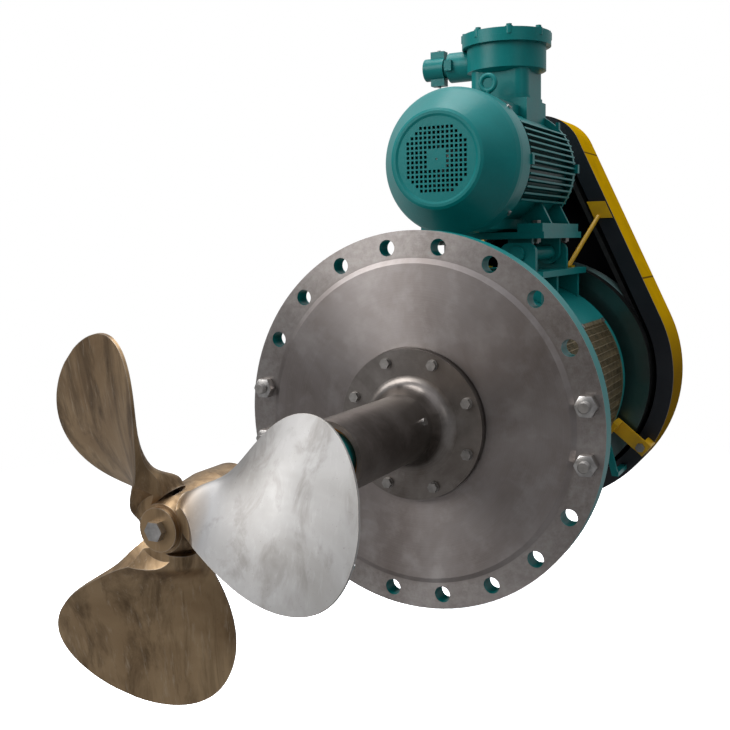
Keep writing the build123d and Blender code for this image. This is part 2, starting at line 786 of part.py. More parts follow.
def fin_sketch():
    """Frame cross-section: round core, level fins at the sides, upright fins below and above."""
    outer = Circle(frame_d / 2)
    half = (fins_per_side - 1) / 2
    fins = Sketch()
    for i in range(fins_per_side):
        offset = fin_pitch * (i - half)
        fins += Pos(0, offset) * Rectangle(frame_d, fin_t)
        if abs(offset) < frame_core_d / 4:
            fins += Pos(offset, 0) * Rectangle(fin_t, frame_d)
    return (fins & outer) + Circle(frame_core_d / 2)


def motor_frame():
    """Finned housing with its feet, foot ribs, terminal box seat and two end collars."""
    body = slab(Pos(0, motor_height) * fin_sketch(), frame_front + frame_collar, frame_rear - frame_collar)
    for y0 in (frame_front, frame_rear - frame_collar):
        body += ring_y(frame_d / 2 - 6, stator_r - 8, y0, y0 + frame_collar, 0, motor_height)
    seat = block(-box_neck_w / 2 - 4, box_neck_w / 2 + 4, box_y - box_neck_w / 2 - 4,
                 box_y + box_neck_w / 2 + 4,
                 motor_height, motor_height + box_seat_h)
    body += seat
    body += Pos(0, eye_y, motor_height + frame_d / 4 + 5) * Cylinder(16, frame_d / 2 - 10)
    for side in (1, -1):
        for y in rib_ys:
            body += slab(make_face(Polyline((side * (foot_half_width - 8), foot_z + foot_t - 1),
                                            (side * (foot_half_width - foot_w), foot_z + foot_t - 1),
                                            (side * 60, motor_height - 118), (side * 118, motor_height - 80),
                                            close=True)), y - foot_rib_t / 2, y + foot_rib_t / 2)
        for y in (frame_front + 7, frame_rear - 7):
            for z in (0, 110):
                body += block(*sorted((side * 110, side * lug_reach(z))), y - 7, y + 7, motor_height + z - 11,
                              motor_height + z + 11)
    body -= block(-foot_half_width, foot_half_width, frame_front - 1, frame_rear + 1, foot_z - 20, foot_z + 1)
    for side in (1, -1):
        body += block(*sorted((side * foot_half_width, side * (foot_half_width - foot_w))),
                      foot_front, foot_front + foot_length, foot_z, foot_z + foot_t)
    body -= cylinder_y(frame_core_d / 2 - frame_wall, frame_front - 1, frame_rear + 1, 0, motor_height)
    body -= rod_z(eye_d / 2 + seat_gap, motor_height + frame_d / 2 - 14, motor_height + frame_d / 2 + 6, 0,
                  eye_y)
    for x, y in foot_holes:
        body -= rod_z(foot_bolt_d / 2 + bolt_gap, foot_z - 1, foot_z + foot_t + 1, x, y)
    body -= rod_z(wire_hole_r, motor_height + 100, neck_base + past, 0, box_y)
    return body


def lug_reach(z):
    """Outer reach of a side lug at a height above the motor axis."""
    return sqrt((frame_d / 2 + 6) ** 2 - min(z + 11, frame_d / 2) ** 2) if z else frame_d / 2 + 6


def drive_end_shield():
    """Domed end shield with the bearing seat and the shaft opening."""
    r = frame_core_d / 2
    y = frame_rear
    profile = [(r - frame_wall - seat_gap, y - 10), (r - frame_wall - seat_gap, y), (r + 12, y),
               (r + 12, y + 16), (r - 30, y + 40),
               (80, y + 58), (62, y + 92), (26, y + 92), (26, y + 84), (motor_bearing_r + seat_gap, y + 84),
               (motor_bearing_r + seat_gap, y + 40), (60, y + 30), (r - 40, y + 10), (r - 30, y - 10)]
    body = turned(profile, 0, motor_height)
    for i in range(8):
        x, z = polar(r - 42, 22.5 + 45 * i, motor_height)
        body += hexagon_y(14, y + 36, y + 48, x, z)
    return body


def fan_end_shield():
    r = frame_core_d / 2
    y = frame_front
    profile = [(r - frame_wall - seat_gap, y + 10), (r - frame_wall - seat_gap, y), (r + 6, y),
               (r + 6, y - 10), (80, y - 22),
               (58, y - 34), (24, y - 34), (24, y - 26), (motor_bearing_r + seat_gap, y - 26),
               (motor_bearing_r + seat_gap, y + 8), (r - 30, y + 10)]
    body = turned(profile, 0, motor_height)
    reach = cover_d / 2 - cover_t - seat_gap
    for a in cover_screw_angles:
        lug = cylinder_y(reach, cover_rear - 18, cover_rear - 2) & block(r - 12, reach + 1, y - 40, y + 5,
                                                                         -9, 9)
        web = block(r - 14, r + 4, y - 18, y - 1, -9, 9)
        body += Pos(0, 0, motor_height) * Rot(0, -a, 0) * (lug + web)
    return body - cover_screw_pins(cover_screw_d / 2 + seat_gap)


def stator_core():
    return ring_y(stator_r - seat_gap, stator_bore_r, stator_front, stator_rear, 0, motor_height)


def rotor_core():
    return ring_y(stator_bore_r - air_gap, rotor_seat_r + seat_gap, stator_front, stator_rear, 0,
                  motor_height)


def motor_shaft():
    y0 = cover_face + 45
    r = motor_shaft_d / 2
    seat = motor_bearing_in - seat_gap
    front_seat, rotor_front = frame_front - 36, frame_front + 8
    rotor_rear, rear_seat = frame_rear + 40, frame_rear + 86
    body = turned([(0, y0), (r - 3, y0), (r - 3, front_seat), (seat, front_seat), (seat, rotor_front),
                   (rotor_seat_r, rotor_front), (rotor_seat_r, rotor_rear), (seat, rotor_rear),
                   (seat, rear_seat), (r + 1, rear_seat), (r + 1, motor_shoulder), (r, motor_shoulder),
                   (r, motor_shaft_end), (0, motor_shaft_end)])
    body -= key_slot(r, drive_hub_face, motor_shaft_end - 4, motor_key_w + key_slack, motor_key_h / 2)
    return Pos(0, 0, motor_height) * body


def motor_bearings():
    """One ring bearing at each end, held by the end shields."""
    return group(ring_y(motor_bearing_r, motor_bearing_in + running_gap, y, y + motor_bearing_w, 0,
                        motor_height)
                 for y in (frame_front - 24, frame_rear + 50))


def cooling_fan():
    """Radial fan: hub, back disc and straight vanes."""
    hub_r = motor_shaft_d / 2 + 5
    disc = fan_y + fan_depth - fan_t
    body = ring_y(hub_r, motor_shaft_d / 2 - 3 + seat_gap, fan_y, fan_y + fan_depth, 0, motor_height)
    body += ring_y(fan_r - 18, hub_r - 1, disc, disc + fan_t, 0, motor_height)
    for i in range(fan_blades):
        vane = block(hub_r - 2, fan_r, fan_y + 6, disc + 2, -vane_t / 2, vane_t / 2)
        body += Pos(0, 0, motor_height) * Rot(0, 360 / fan_blades * i, 0) * vane
    return body


def grille_holes():
    """Square holes of the air inlet: rows of even count round a plain square in the middle."""
    holes = []
    rows = len(grille_rows)
    for j, count in enumerate(grille_rows):
        z = grille_pitch * ((rows - 1) / 2 - j)
        for i in range(count):
            x = grille_pitch * (i - (count - 1) / 2)
            if max(abs(x), abs(z)) < grille_pitch * grille_blank / 2:
                continue
            holes.append(Pos(x, z) * Rectangle(grille_hole, grille_hole))
    return Sketch() + holes


def fan_cover():
    """Sheet cowl: flat grille face with a rolled rim, a cone and a short cylinder over the frame."""
    t = cover_t
    face_r = cover_face_d / 2
    y0 = cover_face
    cone_y = y0 + cover_cone
    r = cover_d / 2
    profile = [(0, y0 + 3), (face_r - 9, y0 + 3), (face_r - 4, y0), (face_r + 2, y0), (face_r + 8, y0 + 4),
               (r - 7, cone_y - 8), (r - 1, cone_y + 4), (r, cone_y + 16), (r, cover_rear),
               (r - t, cover_rear), (r - t, cone_y + 16), (r - t - 1, cone_y + 5), (r - t - 7, cone_y - 6),
               (face_r + 6, y0 + 4 + t), (face_r + 1, y0 + t), (face_r - 3, y0 + t), (face_r - 9, y0 + 3 + t),
               (0, y0 + 3 + t)]
    body = turned(profile, 0, motor_height)
    body -= slab(Pos(0, motor_height) * (grille_holes() + Circle(grille_hole / 3)), y0 - 2, y0 + 10)
    return body - cover_screw_pins(cover_screw_d / 2 + bolt_gap)


def cover_screw_pins(r):
    """Radial pins through the cowl into the lugs of the end shield."""
    pins = []
    for a in cover_screw_angles:
        x, z = polar(cover_d / 2 - 6, a, motor_height)
        pins.append(Pos(x, cover_rear - 10, z) * Rot(0, 90 - a, 0) * Cylinder(r, 18))
    return pins


def fan_cover_screws():
    screws = []
    for a, pin in zip(cover_screw_angles, cover_screw_pins(cover_screw_d / 2)):
        x, z = polar(cover_d / 2 + 2 + seat_gap, a, motor_height)
        screws.append(pin + Pos(x, cover_rear - 10, z) * Rot(0, 90 - a, 0) * Cylinder(cover_screw_d * 0.8, 4))
    return group(screws)


# ---- terminal box ----


def terminal_box():
    """Rounded square neck, round chamber with a bolted rim and a boss for the cable gland."""
    outer_w = box_neck_w + 6
    place = Pos(0, box_y, neck_base)
    plinth = place * extrude(RectangleRounded(outer_w, outer_w, box_corner + 3), 8)
    neck = place * extrude(RectangleRounded(box_neck_w, box_neck_w, box_corner), neck_top - neck_base)
    chamber = rod_z(box_d / 2, neck_top, box_rim, 0, box_y)
    body = plinth + neck + chamber
    body += Pos(0, box_y, neck_top - box_taper / 2) * Cone(box_neck_w / 2 + 4, box_d / 2, box_taper)
    body += rod_z(lid_d / 2, box_rim - lid_t, box_rim, 0, box_y)
    body += cylinder_x(boss_r, boss_end, -box_d / 2 + 12, box_y, gland_axis_z)
    cavity = rod_z(box_d / 2 - box_wall, neck_top + 4, box_rim + past, 0, box_y)
    body -= cavity + rod_z(wire_hole_r, neck_base - past, neck_top + 5, 0, box_y)
    body -= cylinder_x(gland_thread_r + seat_gap, boss_end - past, boss_end + 60, box_y, gland_axis_z)
    return body - [rod_z(lid_bolt_d / 2 + seat_gap, box_rim - lid_t - past, box_rim + past, x, y) for x,
                   y in lid_places]


def terminal_lid():
    """Flat flanged lid with a low crown and eight bolt pads on its edge."""
    body = rod_z(lid_d / 2, box_rim, box_rim + lid_t, 0, box_y)
    for x, y in lid_places:
        body += rod_z(lid_pad_r, box_rim, box_rim + lid_t + lid_crown / 2, x, y)
    crown = rod_z(lid_d / 2 - 24, box_rim, box_rim + lid_t + lid_crown, 0, box_y)
    body += crown
    return body - [rod_z(lid_bolt_d / 2 + bolt_gap, box_rim - past, box_rim + 2 * lid_t, x, y) for x,
                   y in lid_places]


def lid_bolts():
    seat = box_rim + lid_t + lid_crown / 2
    return group(bolt_z(lid_bolt_d, seat, box_rim - lid_t + past, x, y) for x, y in lid_places)


def terminal_block():
    base = Pos(0, box_y, neck_top + 4) * extrude(Rectangle(90, 60), 16)
    for x in (-28, 0, 28):
        for y in (-14, 14):
            base += rod_z(4, neck_top + 19, neck_top + 36, x, box_y + y)
    return base


def cylinder_x(r, x0, x1, y, z):
    return Pos((x0 + x1) / 2, y, z) * Rot(0, 90, 0) * Cylinder(r, abs(x1 - x0))


def cable_gland():
    """Screwed gland with a barrel, a narrow neck and a clamp end with two ears."""
    y, z = box_y, gland_axis_z
    body = cylinder_x(gland_thread_r, boss_end, boss_end + 24, y, z)
    body += cylinder_x(boss_r, barrel_end, boss_end, y, z)
    body += cylinder_x(gland_thread_r + 4, clamp_start, barrel_end, y, z)
    body += cylinder_x(clamp_r, clamp_end, clamp_start, y, z)
    body += Pos(clamp_x, y, z) * Box(38, 26, 2 * ear_reach)
    body += Pos(barrel_end + 9, y - boss_r - 3, z) * Box(18, 12, 26)
    body -= cylinder_x(gland_bore_d / 2, clamp_end - past, boss_end + 24 + past, y, z)
    for low, high in ((z + ear_reach - 20, z + ear_reach + past), (z - ear_reach - past, z - ear_reach + 20)):
        body -= rod_z(clamp_d / 2 + seat_gap, low, high, clamp_x, y)
    return body


def gland_clamp_screws():
    y, z = box_y, gland_axis_z
    top, low = z + ear_reach, z - ear_reach
    upper = rod_z(clamp_d / 2, top - 18, top, clamp_x, y) + rod_z(5, top, top + 4, clamp_x, y)
    lower = rod_z(clamp_d / 2, low, low + 18, clamp_x, y) + rod_z(5, low - 4, low, clamp_x, y)
    return group([upper, lower])


def eyebolt():
    """Lifting eye screwed into the top of the frame, its ring facing along the shaft."""
    z0 = motor_height + frame_d / 2
    eye = Pos(0, eye_y, z0 + eye_rise) * Rot(90, 0, 0) * Torus(eye_r, eye_wire_r)
    return rod_z(11, z0, z0 + 8, 0, eye_y) + rod_z(eye_d / 2, z0 - 12, z0 + eye_rise - eye_r, 0, eye_y) + eye


# ---- motor base ----


def lug_sketch():
    """Upright plate with two round upper corners, standing on the saddle."""
    low, high = saddle_top - past, hinge_z + lug_rise
    plate = Pos(hinge_x, (low + high) / 2) * Rectangle(2 * lug_half_width, high - low)
    return fillet(plate.vertices().group_by(Axis.Y)[-1], lug_corner)


def motor_base_plate():
    """Plate under the motor's feet with two hinge ears; it swings on the rod."""
    body = block(-base_edge, base_edge, foot_front + past, foot_front + foot_length + 20, base_under, foot_z)
    ear = Pos(hinge_x, (hinge_z + base_under) / 2) * Rectangle(2 * hinge_ear_r, base_under - hinge_z)
    for y in ear_ys:
        body += slab(ear + Pos(hinge_x, hinge_z) * Circle(hinge_ear_r), y, y + lug_t)
    body -= cylinder_y(hinge_d / 2 + running_gap, saddle_front - past, saddle_rear, hinge_x, hinge_z)
    return body - [rod_z(foot_bolt_d / 2 + bolt_gap, base_under - past, foot_z + past, x, y) for x,
                   y in foot_holes]


def foot_bolts():
    """Hex bolts with nuts through the feet and the plate."""
    def one(x, y):
        bolt = bolt_z(foot_bolt_d, foot_z + foot_t, base_under - foot_nut_h - 3, x, y)
        nut = extrude(RegularPolygon(foot_nut_af / 2, 6, major_radius=False), foot_nut_h)
        return bolt + Pos(x, y, base_under - foot_nut_h) * nut
    return group(one(x, y) for x, y in foot_holes)


def hinge_rod():
    return cylinder_y(hinge_d / 2, saddle_front - hinge_end, hinge_rear + lug_t + hinge_end, hinge_x, hinge_z)


def saddle():
    """Fixed plate on three webs over the drum, with the hinge lugs and the jack screw bosses."""
    under = saddle_top - saddle_t
    body = block(-saddle_half_width, saddle_half_width, saddle_front, saddle_rear, under, saddle_top)
    drum_r = drum_d / 2 + seat_gap
    for y in saddle_web_ys:
        web = block(12 - saddle_half_width, saddle_half_width - 12, y, y + saddle_web_t, saddle_web_low,
                    under)
        body += web - cylinder_y(drum_r, y - past, y + saddle_web_t + past)
    for y in lug_ys:
        hole = cylinder_y(hinge_d / 2 + seat_gap, y - past, y + lug_t + past, hinge_x, hinge_z)
        body += slab(lug_sketch(), y, y + lug_t) - hole
    for y in jack_ys:
        body += rod_z(jack_d, saddle_top, saddle_top + jack_boss_h, jack_x, y)
        body -= rod_z(jack_d / 2 + seat_gap, under - past, saddle_top + jack_boss_h + past, jack_x, y)
    return body


def jack_screws():
    """Two screws with lock nuts that hold up the free side of the motor plate."""
    top = base_under - end_gap / 20
    hexagon = RegularPolygon(jack_af / 2, 6, major_radius=False)
    def one(y):
        body = rod_z(jack_d / 2, saddle_top - saddle_t - 25, top, jack_x, y)
        body += Pos(jack_x, y, saddle_top + jack_boss_h) * extrude(hexagon, jack_nut_h)
        return body + Pos(jack_x, y, top - jack_cap_h) * extrude(hexagon, jack_cap_h)
    return group(one(y) for y in jack_ys)


# ---- belt guard ----
def guard_sketch(inset=0.0):
    """Outline of two arcs and their common tangents, drawn in (x, z)."""
    low, top = guard_low_r - inset, guard_top_r - inset
    corners = [polar(low, guard_lean), polar(top, guard_lean, guard_top_z),
               polar(top, 180 - guard_lean, guard_top_z),
               polar(low, 180 - guard_lean)]
    return Circle(low) + Pos(0, guard_top_z) * Circle(top) + make_face(Polyline(*corners, close=True))


def belt_guard_cover():
    """Side wall all round and the rear wall behind the shaft ends."""
    wall = slab(guard_sketch() - guard_sketch(guard_sheet), guard_front + guard_sheet, guard_rear)
    cover = wall + slab(guard_sketch(), guard_rear - guard_sheet, guard_rear)
    return cover


def belt_guard_frame():
    """Front border of the guard, open over both pulleys, with a turned-in lip."""
    border = slab(guard_sketch() - guard_sketch(guard_border), guard_front, guard_front + guard_sheet)
    lip = guard_sketch(guard_border - guard_sheet) - guard_sketch(guard_border)
    frame = border + slab(lip, guard_front, guard_front + guard_lip)
    for side in (1, -1):
        x, z = strap_bolt_place(side)
        frame -= cylinder_y(strap_bolt_d / 2 + seat_gap, guard_front - past,
                            guard_front + guard_sheet + past, x, z)
    return frame


def guard_brackets():
    """Upper angle plate with its strut to the saddle, and lower strap from the drum, on both sides."""
    tab_and_strut, strap = upper_bracket(), lower_strap()
    return group([tab_and_strut, strap, mirror(tab_and_strut, Plane.YZ), mirror(strap, Plane.YZ)])


def upper_bracket():
    """Slanted plate on the guard's border and a round strut down to a foot on the saddle."""
    root_x, root_z = polar(guard_low_r, guard_lean)
    slant = tan(radians(guard_lean))
    low, high = bracket_z - bracket_half_h, bracket_z + bracket_half_h
    outer = [(root_x - (z - root_z) * slant - bracket_edge, z) for z in (low, high)]
    (x0, _), (x1, _) = outer
    plate = make_face(Polyline((x0, low), (x1, high), (x1 - bracket_w, high), (x0 - bracket_w, low),
                               close=True))
    tab = slab(plate, guard_front - bracket_t, guard_front)
    foot = block(strut_foot_x - strut_foot, strut_foot_x + strut_foot, strut_foot_y - strut_foot,
                 strut_foot_y + strut_foot, saddle_top, saddle_top + bracket_t)
    run = Line((x0 - bracket_w + 2 * strut_r, guard_front - bracket_t, low + strut_r),
               (strut_foot_x, strut_foot_y, saddle_top))
    strut = sweep(Plane(origin=run @ 0, z_dir=run % 0) * Circle(strut_r), path=run)
    wide = 4 * strut_foot
    below = Pos(strut_foot_x, strut_foot_y, saddle_top - wide / 2) * Box(wide, wide, wide)
    return tab + foot + (strut - below)


def strap_frame():
    """Place of the lower strap: X along it from the drum to the guard, Y as in the model."""
    x0, z0 = polar(drum_d / 2 + seat_gap, strap_angles[0])
    x1, z1 = polar(guard_low_r, strap_angles[1])
    way = degrees(atan2(z1 - z0, x1 - x0))
    return Pos(x0, 0, z0) * Rot(0, -way, 0), sqrt((x1 - x0) ** 2 + (z1 - z0) ** 2)


def strap_bolt_place(side):
    """Centre of the strap's bolt in the guard's border."""
    x, z = polar(guard_low_r - 20, strap_angles[1])
    return side * x, z


def lower_strap():
    """Flat bar in front of the driven pulley, with a leg on the drum and a block on the guard's border."""
    place, length = strap_frame()
    bar = block(-strap_t, length, strap_front, strap_front + strap_t, -strap_half_w, strap_half_w)
    leg = block(-strap_t, 2 * strap_t, drum_rear - 30, strap_front + strap_t, -strap_half_w, strap_half_w)
    end = block(length - 24, length, strap_front, guard_front, -strap_half_w, strap_half_w)
    strap = place * (bar + leg + end) - cylinder_y(drum_d / 2 + seat_gap, drum_rear - 60, guard_front)
    x, z = strap_bolt_place(1)
    return strap - cylinder_y(strap_bolt_d / 2 + bolt_gap, strap_front - past, guard_front + past, x, z)


def strap_bolts():
    """Hex bolts through the straps into the guard's border."""
    return group(bolt_y(strap_bolt_d, strap_front, guard_front + guard_sheet + 8, *strap_bolt_place(side))
                 for side in (1, -1))


def write_parts():
    pieces = dict(
        mounting_flange=mounting_flange(), stuffing_tube=stuffing_tube(),
        tube_flange_bolts=tube_flange_bolts(), tube_bush=tube_bush(), tube_screw=tube_screw(),
        transport_studs=transport_studs(), transport_nuts=transport_nuts(),
        impeller_shaft=impeller_shaft(), propeller=propeller(), propeller_key=propeller_key(),
        hub_cap=hub_cap(), hub_bolt=hub_bolt(), shutoff_collar=shutoff_collar(),
        seal_gland=seal_gland(), gland_bolts=gland_bolts(), seal_sleeve=seal_sleeve(), seal_seat=seal_seat(),
        seal_ring=seal_ring(), housing_drum=housing_drum(), bearing_cartridge=bearing_cartridge(),
        front_bearing_outer=bearing_outer(front_bearing_y),
        front_bearing_inner=bearing_inner(front_bearing_y),
        rear_bearing_outer=bearing_outer(rear_bearing_y),
        rear_bearing_inner=bearing_inner(rear_bearing_y),
        rear_bearing_cover=rear_bearing_cover(), bearing_locknut=bearing_locknut(), mesh_guards=mesh_guards(),
        mesh_screws=mesh_screws(), driven_pulley=driven_pulley(), driven_key=driven_key(), belts=belts(),
        drive_pulley=drive_pulley(), drive_key=drive_key(), motor_frame=motor_frame(),
        drive_end_shield=drive_end_shield(), fan_end_shield=fan_end_shield(), stator_core=stator_core(),
        rotor_core=rotor_core(), motor_shaft=motor_shaft(), motor_bearings=motor_bearings(),
        cooling_fan=cooling_fan(), fan_cover=fan_cover(), fan_cover_screws=fan_cover_screws(),
        terminal_box=terminal_box(), terminal_lid=terminal_lid(), lid_bolts=lid_bolts(),
        terminal_block=terminal_block(), cable_gland=cable_gland(), gland_clamp_screws=gland_clamp_screws(),
        eyebolt=eyebolt(), motor_base_plate=motor_base_plate(), foot_bolts=foot_bolts(),
        hinge_rod=hinge_rod(), saddle=saddle(), jack_screws=jack_screws(),
        belt_guard_cover=belt_guard_cover(), belt_guard_frame=belt_guard_frame(),
        guard_brackets=guard_brackets(), strap_bolts=strap_bolts(),
    )
    os.makedirs("parts", exist_ok=True)
    for name, shape in pieces.items():
        export_step(shape, f"parts/{name}.step")


write_parts()
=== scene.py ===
"""Looks of the side entry tank mixer: materials, fine pieces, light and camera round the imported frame."""
from math import asin, cos, pi, radians, sin, sqrt

import bmesh
import bpy
from mathutils import Matrix, Vector


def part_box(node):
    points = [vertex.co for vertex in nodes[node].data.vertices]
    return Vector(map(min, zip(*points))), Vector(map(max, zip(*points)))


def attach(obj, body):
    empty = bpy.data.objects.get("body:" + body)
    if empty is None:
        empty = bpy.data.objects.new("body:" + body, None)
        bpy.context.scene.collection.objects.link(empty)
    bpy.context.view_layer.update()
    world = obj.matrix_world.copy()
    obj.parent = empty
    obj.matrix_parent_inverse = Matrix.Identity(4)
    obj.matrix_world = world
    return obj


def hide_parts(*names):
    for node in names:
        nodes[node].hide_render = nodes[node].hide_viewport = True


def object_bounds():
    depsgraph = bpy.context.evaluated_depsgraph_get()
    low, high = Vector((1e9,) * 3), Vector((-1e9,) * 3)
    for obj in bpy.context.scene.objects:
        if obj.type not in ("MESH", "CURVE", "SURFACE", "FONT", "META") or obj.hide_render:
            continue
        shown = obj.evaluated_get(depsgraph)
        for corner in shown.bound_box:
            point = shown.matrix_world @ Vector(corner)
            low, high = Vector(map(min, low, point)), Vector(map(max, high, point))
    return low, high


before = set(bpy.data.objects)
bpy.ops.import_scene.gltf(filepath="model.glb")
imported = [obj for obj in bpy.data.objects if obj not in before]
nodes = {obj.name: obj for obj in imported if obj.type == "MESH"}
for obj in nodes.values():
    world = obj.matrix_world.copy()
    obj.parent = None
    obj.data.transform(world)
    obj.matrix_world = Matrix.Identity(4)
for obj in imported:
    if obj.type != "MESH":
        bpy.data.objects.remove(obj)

cad_box = [list(corner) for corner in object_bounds()]


# ---------- node helpers ----------
class Shader:
    """A material under construction, with short calls for the nodes used here."""

    def __init__(self, name, base, roughness, metallic=0.0):
        self.material = bpy.data.materials.new(name)
        self.material.use_nodes = True
        self.tree = self.material.node_tree
        self.bsdf = self.tree.nodes["Principled BSDF"]
        self.bsdf.inputs["Base Color"].default_value = (*base, 1)
        self.bsdf.inputs["Roughness"].default_value = roughness
        self.bsdf.inputs["Metallic"].default_value = metallic
        self.place = self.node("ShaderNodeTexCoord").outputs["Object"]
        self.bumped = None

    def node(self, kind, **values):
        made = self.tree.nodes.new(kind)
        for key, value in values.items():
            if hasattr(made, key):
                setattr(made, key, value)
            else:
                self.put(made.inputs[key.replace("_", " ")], value)
        return made

    def put(self, socket, value):
        if isinstance(value, bpy.types.NodeSocket):
            self.tree.links.new(value, socket)
        else:
            socket.default_value = value

    def maths(self, operation, a, b=0.0):
        made = self.node("ShaderNodeMath", operation=operation)
        self.put(made.inputs[0], a)
        self.put(made.inputs[1], b)
        return made.outputs[0]

    def stretched(self, scale):
        made = self.node("ShaderNodeMapping")
        self.put(made.inputs["Vector"], self.place)
        made.inputs["Scale"].default_value = scale
        return made.outputs["Vector"]

    def noise(self, scale, detail=3.0, rough=0.5, vector=None, distort=0.0):
        made = self.node("ShaderNodeTexNoise")
        self.put(made.inputs["Vector"], vector or self.place)
        made.inputs["Scale"].default_value = scale
        made.inputs["Detail"].default_value = detail
        made.inputs["Roughness"].default_value = rough
        made.inputs["Distortion"].default_value = distort
        return made.outputs["Fac"]

    def ramp(self, value, low, high):
        """Value taken from 0 at low to 1 at high."""
        made = self.node("ShaderNodeMapRange", clamp=True)
        self.put(made.inputs["Value"], value)
        made.inputs["From Min"].default_value = low
        made.inputs["From Max"].default_value = high
        return made.outputs["Result"]

    def span(self, value, low, high):
        """A 0 to 1 value spread over low to high."""
        made = self.node("ShaderNodeMapRange", clamp=False)
        self.put(made.inputs["Value"], value)
        made.inputs["To Min"].default_value = low
        made.inputs["To Max"].default_value = high
        return made.outputs["Result"]

    def mix(self, share, a, b):
        """Colour a turning into b as share goes from 0 to 1; each can be a socket."""
        made = self.node("ShaderNodeMix", data_type="RGBA")
        self.put(made.inputs[0], share)
        for socket, value in ((made.inputs[6], a), (made.inputs[7], b)):
            self.put(socket, (*value, 1) if isinstance(value, tuple) else value)
        return made.outputs[2]

    def axes(self):
        made = self.node("ShaderNodeSeparateXYZ")
        self.put(made.inputs[0], self.place)
        return made.outputs

    def normal_axes(self):
        made = self.node("ShaderNodeSeparateXYZ")
        self.put(made.inputs[0], self.node("ShaderNodeNewGeometry").outputs["True Normal"])
        return made.outputs

    def radius(self):
        """Distance from the shaft's axis, which is Y."""
        x, _, z = self.axes()
        squares = [self.maths("MULTIPLY", side, side) for side in (x, z)]
        return self.maths("SQRT", self.maths("ADD", *squares))

    def edges(self, size):
        """1 along sharp outer edges, 0 elsewhere."""
        bevel = self.node("ShaderNodeBevel", samples=6)
        bevel.inputs["Radius"].default_value = size
        geometry = self.node("ShaderNodeNewGeometry")
        dot = self.node("ShaderNodeVectorMath", operation="DOT_PRODUCT")
        self.put(dot.inputs[0], bevel.outputs["Normal"])
        self.put(dot.inputs[1], geometry.outputs["Normal"])
        return self.ramp(dot.outputs["Value"], 0.97, 0.75)

    def crease(self):
        """1 in corners and recesses, 0 in the open."""
        made = self.node("ShaderNodeAmbientOcclusion", samples=6)
        made.inputs["Distance"].default_value = CREASE_REACH
        return self.maths("SUBTRACT", 1.0, made.outputs["AO"])

    def colour(self, value):
        self.put(self.bsdf.inputs["Base Color"], value)

    def rough(self, value):
        self.put(self.bsdf.inputs["Roughness"], value)

    def bump(self, height, distance, strength=1.0):
        made = self.node("ShaderNodeBump")
        self.put(made.inputs["Height"], height)
        made.inputs["Distance"].default_value = distance
        made.inputs["Strength"].default_value = strength
        if self.bumped:
            self.put(made.inputs["Normal"], self.bumped)
        self.bumped = made.outputs["Normal"]
        self.put(self.bsdf.inputs["Normal"], self.bumped)


# ---------- materials ----------
GREEN = (0.002, 0.165, 0.160)
# dark green of the painted shade in creases and corners
GREEN_CREASE_SHADE = (0.002, 0.035, 0.033)
# pale green for dust specks, and for the painted highlight along the edges of the green paint
GREEN_DUST_AND_HIGHLIGHT = (0.03, 0.24, 0.24)
STEEL = (0.33, 0.298, 0.285)
STEEL_DARK = (0.21, 0.178, 0.162)
STEEL_LIGHT = (0.50, 0.475, 0.46)
YELLOW = (0.60, 0.34, 0.002)
YELLOW_DIRTY = (0.22, 0.12, 0.006)
SKY_LIT_BLADE = 13.0             # angle of the blade painted with a sky reflection, from +X towards +Z
HUB_RADIUS = 0.045
GUARD_SEAMS = (0.27, 0.62)      # heights where the sheets of the guard meet
GUARD_GAP = 0.0415              # from the small pulley to the guard's outside
CREASE_REACH = 0.02

flange_low, flange_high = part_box("mounting_flange")
RAISED_RADIUS = 0.4285 * (flange_high[0] - flange_low[0])
guard_top_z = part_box("belt_guard_cover")[1][2] - (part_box("drive_pulley")[1][0] + GUARD_GAP)


def green_layer(s):
    """Colour and roughness of the brushed-on green paint, with painted shade that darkens its creases and
    corners.
    """
    patch = s.noise(7.0, 4, 0.6)
    fine = s.noise(240.0, 2, 0.6)
    base = s.mix(s.ramp(patch, 0.35, 0.7), GREEN, tuple(1.25 * c for c in GREEN))
    dusty = s.mix(s.maths("MULTIPLY", s.ramp(fine, 0.55, 0.8), 0.25), base, GREEN_DUST_AND_HIGHLIGHT)
    # painted shade: the paint turns dark green in creases and corners, where shade falls
    crease_shade = s.maths("MULTIPLY", s.ramp(s.crease(), 0.25, 0.8), 0.65)
    return s.mix(crease_shade, dusty, GREEN_CREASE_SHADE), s.span(patch, 0.24, 0.42)


def green_paint():
    s = Shader("green_paint", GREEN, 0.32)
    colour, rough = green_layer(s)
    # painted highlight: sharp edges turn a lighter, bluer green in patches
    wear_and_highlight = s.maths("MULTIPLY", s.edges(0.003), s.ramp(s.noise(60, 3), 0.4, 0.6))
    s.colour(s.mix(s.maths("MULTIPLY", wear_and_highlight, 0.6), colour, GREEN_DUST_AND_HIGHLIGHT))
    s.rough(rough)
    s.bsdf.inputs["Specular IOR Level"].default_value = 0.26
    s.bump(s.noise(90, 3), 0.0006, 0.35)
    s.bump(s.noise(900, 2), 0.00015, 0.5)
    return s.material


